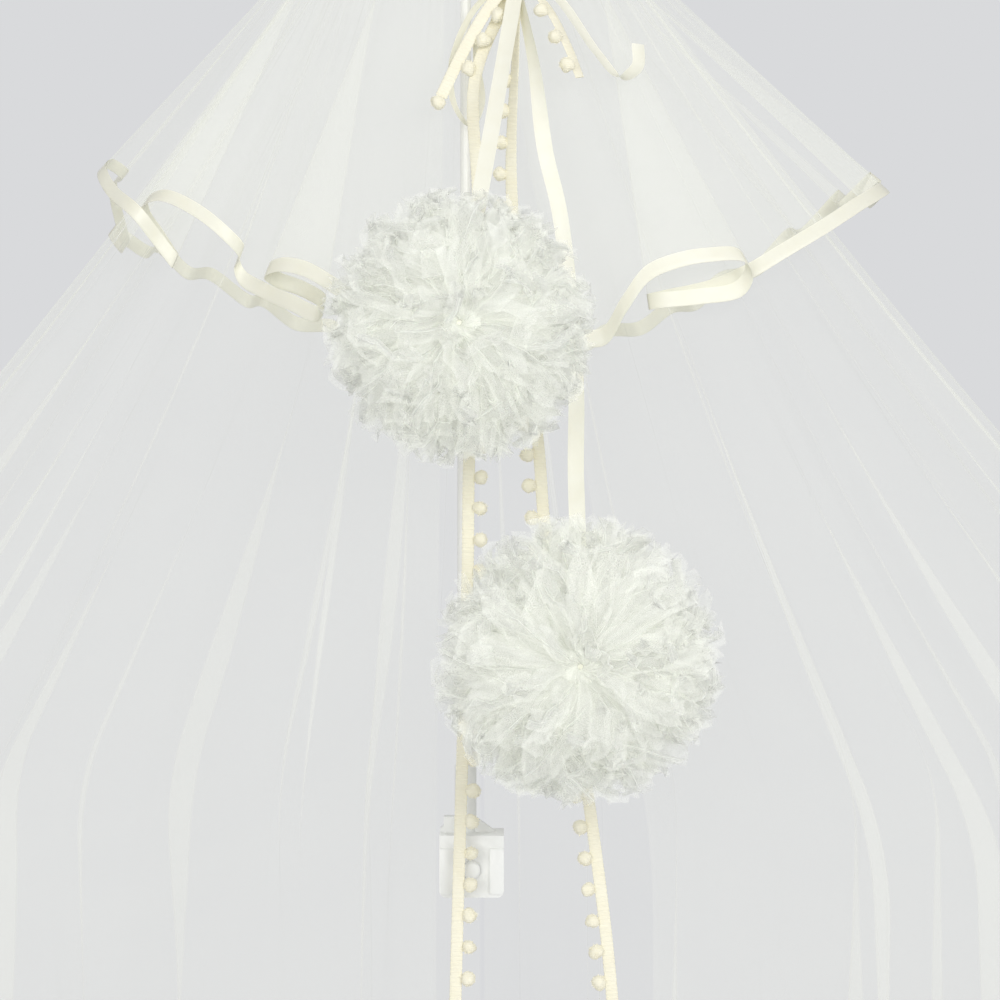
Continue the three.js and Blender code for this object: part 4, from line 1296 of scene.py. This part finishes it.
class Pompom:
    """Hundreds of crumpled strips that spring from the tie and turn outwards to a ragged ball."""

    ROWS = (0.0, 0.22, 0.42, 0.6, 0.76, 0.89, 1.0)
    COLUMNS = 5

    def __init__(self, size: PompomSize, wardrobe: Wardrobe) -> None:
        """Keeps the sizes and the finishes."""
        self.size = size
        self.wardrobe = wardrobe
        self.rng = np.random.default_rng(SEED + size.seed)
        self.middle = np.array(size.middle)
        self.knot = self.middle + np.array([0, size.tie_depth + size.tie - size.radius, 0])

    def _directions(self, axis: np.ndarray) -> np.ndarray:
        """Directions spread over the ball, but for a small cone round the eye.

        Args:
            axis: The way that the eye looks.

        Returns:
            Directions of length 1.
        """
        count = int(self.size.strips * 1.02)
        index = np.arange(count) + 0.5
        polar = np.arccos(1 - 2 * index / count)
        turn = math.pi * (1 + 5**0.5) * index
        ways = np.stack([np.sin(polar) * np.cos(turn), np.sin(polar) * np.sin(turn), np.cos(polar)], -1)
        ways = unit(ways + 0.06 * self.rng.normal(size=ways.shape))
        return ways[ways @ axis < 0.993]

    def _lay(self, path: np.ndarray, widest: float, squeeze: np.ndarray) -> tuple[np.ndarray, np.ndarray]:
        """Lays a crumpled strip along each path, its face to the outside.

        Args:
            path: Points along each strip, an array of strips by rows by 3.
            widest: Width of a strip at its end, before it is squeezed.
            squeeze: How far each strip is pushed together, one share each.

        Returns:
            The strips' points and their places on the flat cloth.
        """
        rng, size = self.rng, self.size
        count = len(path)
        rows = np.array(self.ROWS)[None, :, None]
        tangent = unit(np.gradient(path, axis=1))
        across = unit(np.cross(tangent, path - self.middle) + 1e-5 * rng.normal(size=(count, 1, 3)))
        normal = np.cross(tangent, across)
        twist = rng.uniform(-0.75, 0.75, (count, 1, 1)) + rng.uniform(-0.5, 0.5, (count, 1, 1)) * rows
        turned_across, turned_normal = rolled(across, normal, twist)
        width = widest * rng.uniform(0.6, 1.15, (count, 1, 1)) * (0.1 + 0.9 * rows**0.75)
        place = np.linspace(-1, 1, self.COLUMNS)[None, None, :]
        zigzag = np.where(np.arange(self.COLUMNS) % 2, 1.0, -1.0)[None, None, :]
        crumple = width * 0.16 * zigzag * rng.uniform(0.2, 1.4, (count, len(self.ROWS), self.COLUMNS))
        jag = widest * rng.uniform(-0.3, 0.14, (count, 1, self.COLUMNS)) * (rows == 1.0)
        grid = (
            path[:, :, None]
            + turned_across[:, :, None] * (place * width * squeeze[:, None, None] / 2)[..., None]
            + turned_normal[:, :, None] * crumple[..., None]
            + tangent[:, :, None] * jag[..., None]
        )
        out = grid - self.middle
        far = np.linalg.norm(out, axis=-1, keepdims=True)
        grid = self.middle + out * np.minimum(1, 1.035 * size.radius / np.maximum(far, 1e-9))
        offset = rng.uniform(0, 1, (count, 1, 1))
        wide = np.broadcast_to(place * widest / 2, grid.shape[:3])
        deep = np.broadcast_to(rows * size.radius, grid.shape[:3])
        return grid, np.stack([wide + offset, deep + offset], -1)

    def _strips(self) -> tuple[np.ndarray, np.ndarray, np.ndarray]:
        """Points, faces and UVs of all the strips."""
        size, rng = self.size, self.rng
        axis = unit(np.array(size.tilt))
        ways = self._directions(axis)
        count = len(ways)
        ahead = (ways @ axis)[:, None]
        radial = unit(ways - axis * ahead + 1e-4 * rng.normal(size=ways.shape))
        start = self.knot + radial * 3 * MM
        reach = size.radius * rng.uniform(0.74, 1.02, (count, 1))
        fall = unit(ways * ahead - axis + 1e-4 * rng.normal(size=ways.shape)) * ahead * size.curl
        tip = self.middle + unit(ways + fall + 0.3 * rng.normal(size=ways.shape)) * reach
        pull = radial * size.radius * (0.06 + 0.42 * np.sqrt(1 - ahead**2)) + axis * ahead * size.radius * 0.12
        control, crest = start + pull, self.middle + ways * reach * 0.9
        rows = np.array(self.ROWS)[None, :, None]
        back = 1 - rows
        path = (
            start[:, None] * back**3 + 3 * control[:, None] * rows * back**2
            + 3 * crest[:, None] * rows**2 * back + tip[:, None] * rows**3
        )
        path += rng.normal(size=path.shape) * 2.4 * MM * rows
        grid, uvs = self._lay(path, size.width, rng.uniform(0.4, 0.85, count))
        turn = rng.uniform(0, 2 * math.pi, size.eye_strips)
        side = unit(np.cross(axis, [0.3, 0.1, 1.0]))
        spoke = side * np.cos(turn)[:, None] + np.cross(axis, side) * np.sin(turn)[:, None]
        swirl = np.cross(axis, spoke)
        lean = rng.uniform(0.3, 1.0, (size.eye_strips, 1, 1))
        low = self.knot + spoke * 0.35 * size.tie + axis * 0.98 * size.tie
        path = low[:, None] + rows * (
            spoke[:, None] * lean * 2.4 + axis * (1.5 - lean) * 1.2 + swirl[:, None] * rows * 1.7
        ) * size.tie
        eye_grid, eye_uvs = self._lay(path, 1.3 * size.tie, rng.uniform(0.6, 1.0, size.eye_strips))
        grid, uvs = np.concatenate([grid, eye_grid]), np.concatenate([uvs, eye_uvs])
        block = grid_faces(len(self.ROWS), self.COLUMNS)
        each = len(self.ROWS) * self.COLUMNS
        faces = (block[None] + (np.arange(len(grid)) * each)[:, None, None]).reshape(-1, 4)
        return grid.reshape(-1, 3), faces, uvs.reshape(-1, 2)

    def build(self) -> None:
        """Builds the ball, its tie and its ribbon."""
        size = self.size
        points, faces, uvs = self._strips()
        ball = mesh_object(f"pompom_{size.name}_tulle", points, faces, uvs)
        self.wardrobe.dress(ball, Slot.POMPOM, size.body, [f"pompom_{size.name}"])
        route = np.vstack([from_knot(size.route), self.knot + np.array([0, 3, 4]) / 5 * (size.tie + 0.6 * MM)])
        ribbon = RibbonSize(f"ribbon_{size.name}", route, size.body, SIDEWAYS, turned=size.ribbon_turned)
        Ribbon(ribbon, self.wardrobe).build()
        form = bmesh.new()
        bmesh.ops.create_uvsphere(form, u_segments=24, v_segments=16, radius=size.tie)
        bmesh.ops.translate(form, verts=form.verts, vec=Vector(self.knot))
        tie = form_object(f"pompom_{size.name}_tie_satin", form)
        tie.data.uv_layers.new(name="metres")
        self.wardrobe.dress(tie, Slot.SATIN, size.body, [f"pompom_{size.name}_tie"])


# Clamp, pole and ring


@dataclass(frozen=True)
class PoleSize:
    """Radii and heights of the pole's tubes."""

    x: float = -0.005
    lower_radius: float = 0.0065
    lower_wall: float = 0.001
    lower_low: float = 0.0101
    lower_top: float = 0.398
    upper_radius: float = 0.0042
    upper_wall: float = 0.0009
    upper_low: float = 0.232
    upper_top: float = 0.714


class Holder:
    """The clamp, its screws and pads, the telescopic pole and the ring."""

    def __init__(self, frame: dict, wardrobe: Wardrobe) -> None:
        """Keeps the CAD frame and the finishes."""
        self.nodes = frame["nodes"]
        self.wardrobe = wardrobe

    def _tube(self, name: str, radius: float, wall: float, low: float, top: float) -> bpy.types.Object:
        """An open tube with its ends a little rounded.

        Args:
            name: The object's name.
            radius: Its outer radius.
            wall: Its wall.
            low: Height of its lower end.
            top: Height of its upper end.

        Returns:
            The linked tube.
        """
        ease = wall / 3
        profile = [
            (radius - wall, low + ease), (radius - wall + ease, low), (radius - ease, low), (radius, low + ease),
            (radius, top - ease), (radius - ease, top), (radius - wall + ease, top), (radius - wall, top - ease),
        ]
        return turned(name, profile, (PoleSize.x, 0))

    def _poles(self) -> None:
        """Both tubes of the pole."""
        size = PoleSize()
        lower = self._tube("lower_pole_tube", size.lower_radius, size.lower_wall, size.lower_low, size.lower_top)
        self.wardrobe.dress(lower, Slot.ENAMEL, Body.LOWER_POLE, ["lower_pole"])
        upper = self._tube("upper_pole_tube", size.upper_radius, size.upper_wall, size.upper_low, size.upper_top)
        self.wardrobe.dress(upper, Slot.ENAMEL, Body.CANOPY, ["upper_pole"])

    def _ring(self) -> None:
        """The ring's rod and the tulle casing sewn round it."""
        rows = 240
        casing_away = RING.head_half / RING.radius + 0.004
        spots = {"hoop": (0.0085, RING.rod, 20), "drape_casing": (casing_away, 0.0050, 28)}
        for node, (away, radius, sides) in spots.items():
            angle = np.linspace(-math.pi / 2 + away, 1.5 * math.pi - away, rows)
            spoke = np.stack([np.cos(angle), np.sin(angle), np.zeros(rows)], -1)
            centre = np.array([RING.x, RING.y, RING.height]) + spoke * RING.radius
            turn = np.linspace(0, 2 * math.pi, sides, endpoint=False)
            section = np.full((rows, sides), radius)
            if node == "drape_casing":
                section = section * (1 - 0.06 * (1 + np.sin(angle * 90))[:, None] / 2)
            grid = (
                centre[:, None]
                + spoke[:, None] * (section * np.cos(turn))[..., None]
                + np.array([0, 0, 1]) * (section * np.sin(turn))[..., None]
            )
            faces = [tuple(face) for face in grid_faces(rows, sides, closed=True)]
            if node == "hoop":
                faces += [tuple(range(sides))[::-1], tuple(range((rows - 1) * sides, rows * sides))]
            piece = mesh_object(f"{node}_fine", grid.reshape(-1, 3), faces, grid_uvs(grid))
            slot = Slot.ENAMEL if node == "hoop" else Slot.TULLE
            self.wardrobe.dress(piece, slot, Body.CANOPY, [node])

    def build(self) -> None:
        """Softens the moulded parts, turns the tubes and paints what stays as it is in the CAD."""
        soft = (
            ("clamp_body", Slot.PLASTIC, Body.CLAMP, 0.5),
            ("clamp_screw", Slot.PLASTIC, Body.SCREW, 0.25),
            ("socket_thumb_screw", Slot.PLASTIC, Body.SOCKET_SCREW, 0.2),
            ("pole_collar", Slot.PLASTIC, Body.LOWER_POLE, 0.2),
            ("collar_thumb_screw", Slot.PLASTIC, Body.COLLAR_SCREW, 0.2),
            ("hoop_head", Slot.PLASTIC, Body.CANOPY, 0.4),
        )
        for node, slot, body, width in soft:
            copy = softened(f"{node}_soft", self.nodes[node], width * MM)
            self.wardrobe.dress(copy, slot, body, [node])
        kept = {
            "thread_insert": Slot.BRASS, "seat_pad": Slot.RUBBER, "rear_jaw_pad": Slot.RUBBER,
            "pressure_pad": Slot.RUBBER, "pole_plug": Slot.PLASTIC, "hoop_screw": Slot.ZINC,
            "bow_backing": Slot.SATIN,
        }
        for node, slot in kept.items():
            self.nodes[node].data.materials.clear()
            self.nodes[node].data.materials.append(self.wardrobe.finishes[slot])
        self._poles()
        self._ring()


# Studio


@dataclass(frozen=True)
class Lamp:
    """A square soft light aimed at a point."""

    name: str
    place: tuple[float, float, float]
    aim: tuple[float, float, float]
    size: float
    power: float


LAMPS = (
    Lamp("key_soft", (1.2, -2.8, 1.2), (0, 0, 0.2), 1.5, 41),
    Lamp("fill_soft", (-0.9, -3.0, 0.6), (0, 0, 0.2), 1.5, 26),
    Lamp("back_soft", (-0.4, 2.4, 1.8), (0, 0.1, 0.2), 1.6, 8),
)


class Studio:
    """Camera, soft lights, pale background and floor."""

    BACKGROUND = "D9DADC"
    AMBIENT = 0.55
    FLOOR_Z = -0.985
    FLOOR_HALF = 2.2
    SENSOR = 36.0
    LENS = 89.4
    EYE = (0.022, -1.95, 0.267)
    TULLE_LAYERS = 28
    DIFFUSE_BOUNCES = 8

    def build(self) -> None:
        """Builds the whole studio."""
        self._camera()
        self._floor()
        self._world()
        for lamp in LAMPS:
            data = bpy.data.lights.new(lamp.name, "AREA")
            data.size = lamp.size
            data.energy = lamp.power
            light = linked(lamp.name, data)
            light.location = lamp.place
            aim = Vector(lamp.aim) - Vector(lamp.place)
            light.rotation_euler = aim.to_track_quat("-Z", "Y").to_euler()

    def _camera(self) -> None:
        """A level camera in front of the pompoms, as in the photograph."""
        data = bpy.data.cameras.new("front_camera")
        data.sensor_width = self.SENSOR
        data.lens = self.LENS
        camera = linked("front_camera", data)
        camera.location = self.EYE
        camera.rotation_euler = (math.pi / 2, 0, 0)
        bpy.context.scene.camera = camera

    def _floor(self) -> None:
        """A pale floor, low enough for the hem when the pole is pushed all the way down."""
        half, z = self.FLOOR_HALF, self.FLOOR_Z
        corners = np.array([(-half, -half, z), (half, -half, z), (half, half, z), (-half, half, z)])
        floor = mesh_object("studio_floor", corners, [(0, 1, 2, 3)])
        floor.data.materials.append(stage_material("matt_floor_paint", "E2E3E4"))

    def _world(self) -> None:
        """Soft light from all round, and a plain pale grey where the camera looks past the object."""
        scene = bpy.context.scene
        scene.world = bpy.data.worlds.new("studio_world")
        nodes = NodeTree(scene.world, "ShaderNodeOutputWorld")
        rays = nodes.add("ShaderNodeLightPath").outputs
        seen = nodes.maths("MAXIMUM", rays["Is Camera Ray"], rays["Is Transmission Ray"])
        light = nodes.add("ShaderNodeBackground", {"Color": linear("FFFFFF"), "Strength": self.AMBIENT})
        shown = nodes.add("ShaderNodeBackground", {"Color": linear(self.BACKGROUND)})
        nodes.finish(nodes.layer(seen, light, shown))
        scene.cycles.transparent_max_bounces = self.TULLE_LAYERS
        scene.cycles.diffuse_bounces = self.DIFFUSE_BOUNCES
        scene.view_settings.view_transform = "Standard"


class Canopy:
    """The whole canopy."""

    def __init__(self, frame: dict) -> None:
        """Keeps the frame and makes the finishes."""
        self.frame = frame
        self.wardrobe = Wardrobe()

    def build(self) -> None:
        """Builds every sub-assembly."""
        Holder(self.frame, self.wardrobe).build()
        DrapePanel(DrapeSize("left", -1, 0.032, 11), self.wardrobe).build()
        DrapePanel(DrapeSize("right", 1, 0.135, 23), self.wardrobe).build()
        Flounce(FlounceSize(), self.wardrobe).build()
        Bow(self.wardrobe).build()
        trims = (
            TrimSize("trim_left", from_knot(TRIM_LEFT), Body.TRIMS, 1, 8 * 0.024, SIDEWAYS, 1),
            TrimSize("trim_right", from_knot(TRIM_RIGHT), Body.TRIMS, -1, 2 * 0.024, SIDEWAYS, 2, turned=1.05),
        )
        for trim in trims:
            PomTrim(trim, self.wardrobe).build()
        balls = (
            PompomSize(
                "upper", (-0.007, -0.1633, 0.391), 0.099, (0.1, -1, 0.02), 31, Body.UPPER_POMPOM, RIBBON_UPPER
            ),
            PompomSize(
                "lower", (0.078, -0.1633, 0.151), 0.104, (0, -1, 0), 37, Body.LOWER_POMPOM, RIBBON_LOWER,
                ribbon_turned=1.2,
            ),
        )
        for ball in balls:
            Pompom(ball, self.wardrobe).build()


def main() -> None:
    """Builds the canopy in its studio."""
    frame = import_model()
    Canopy(frame).build()
    Studio().build()


if __name__ == "__main__":
    main()
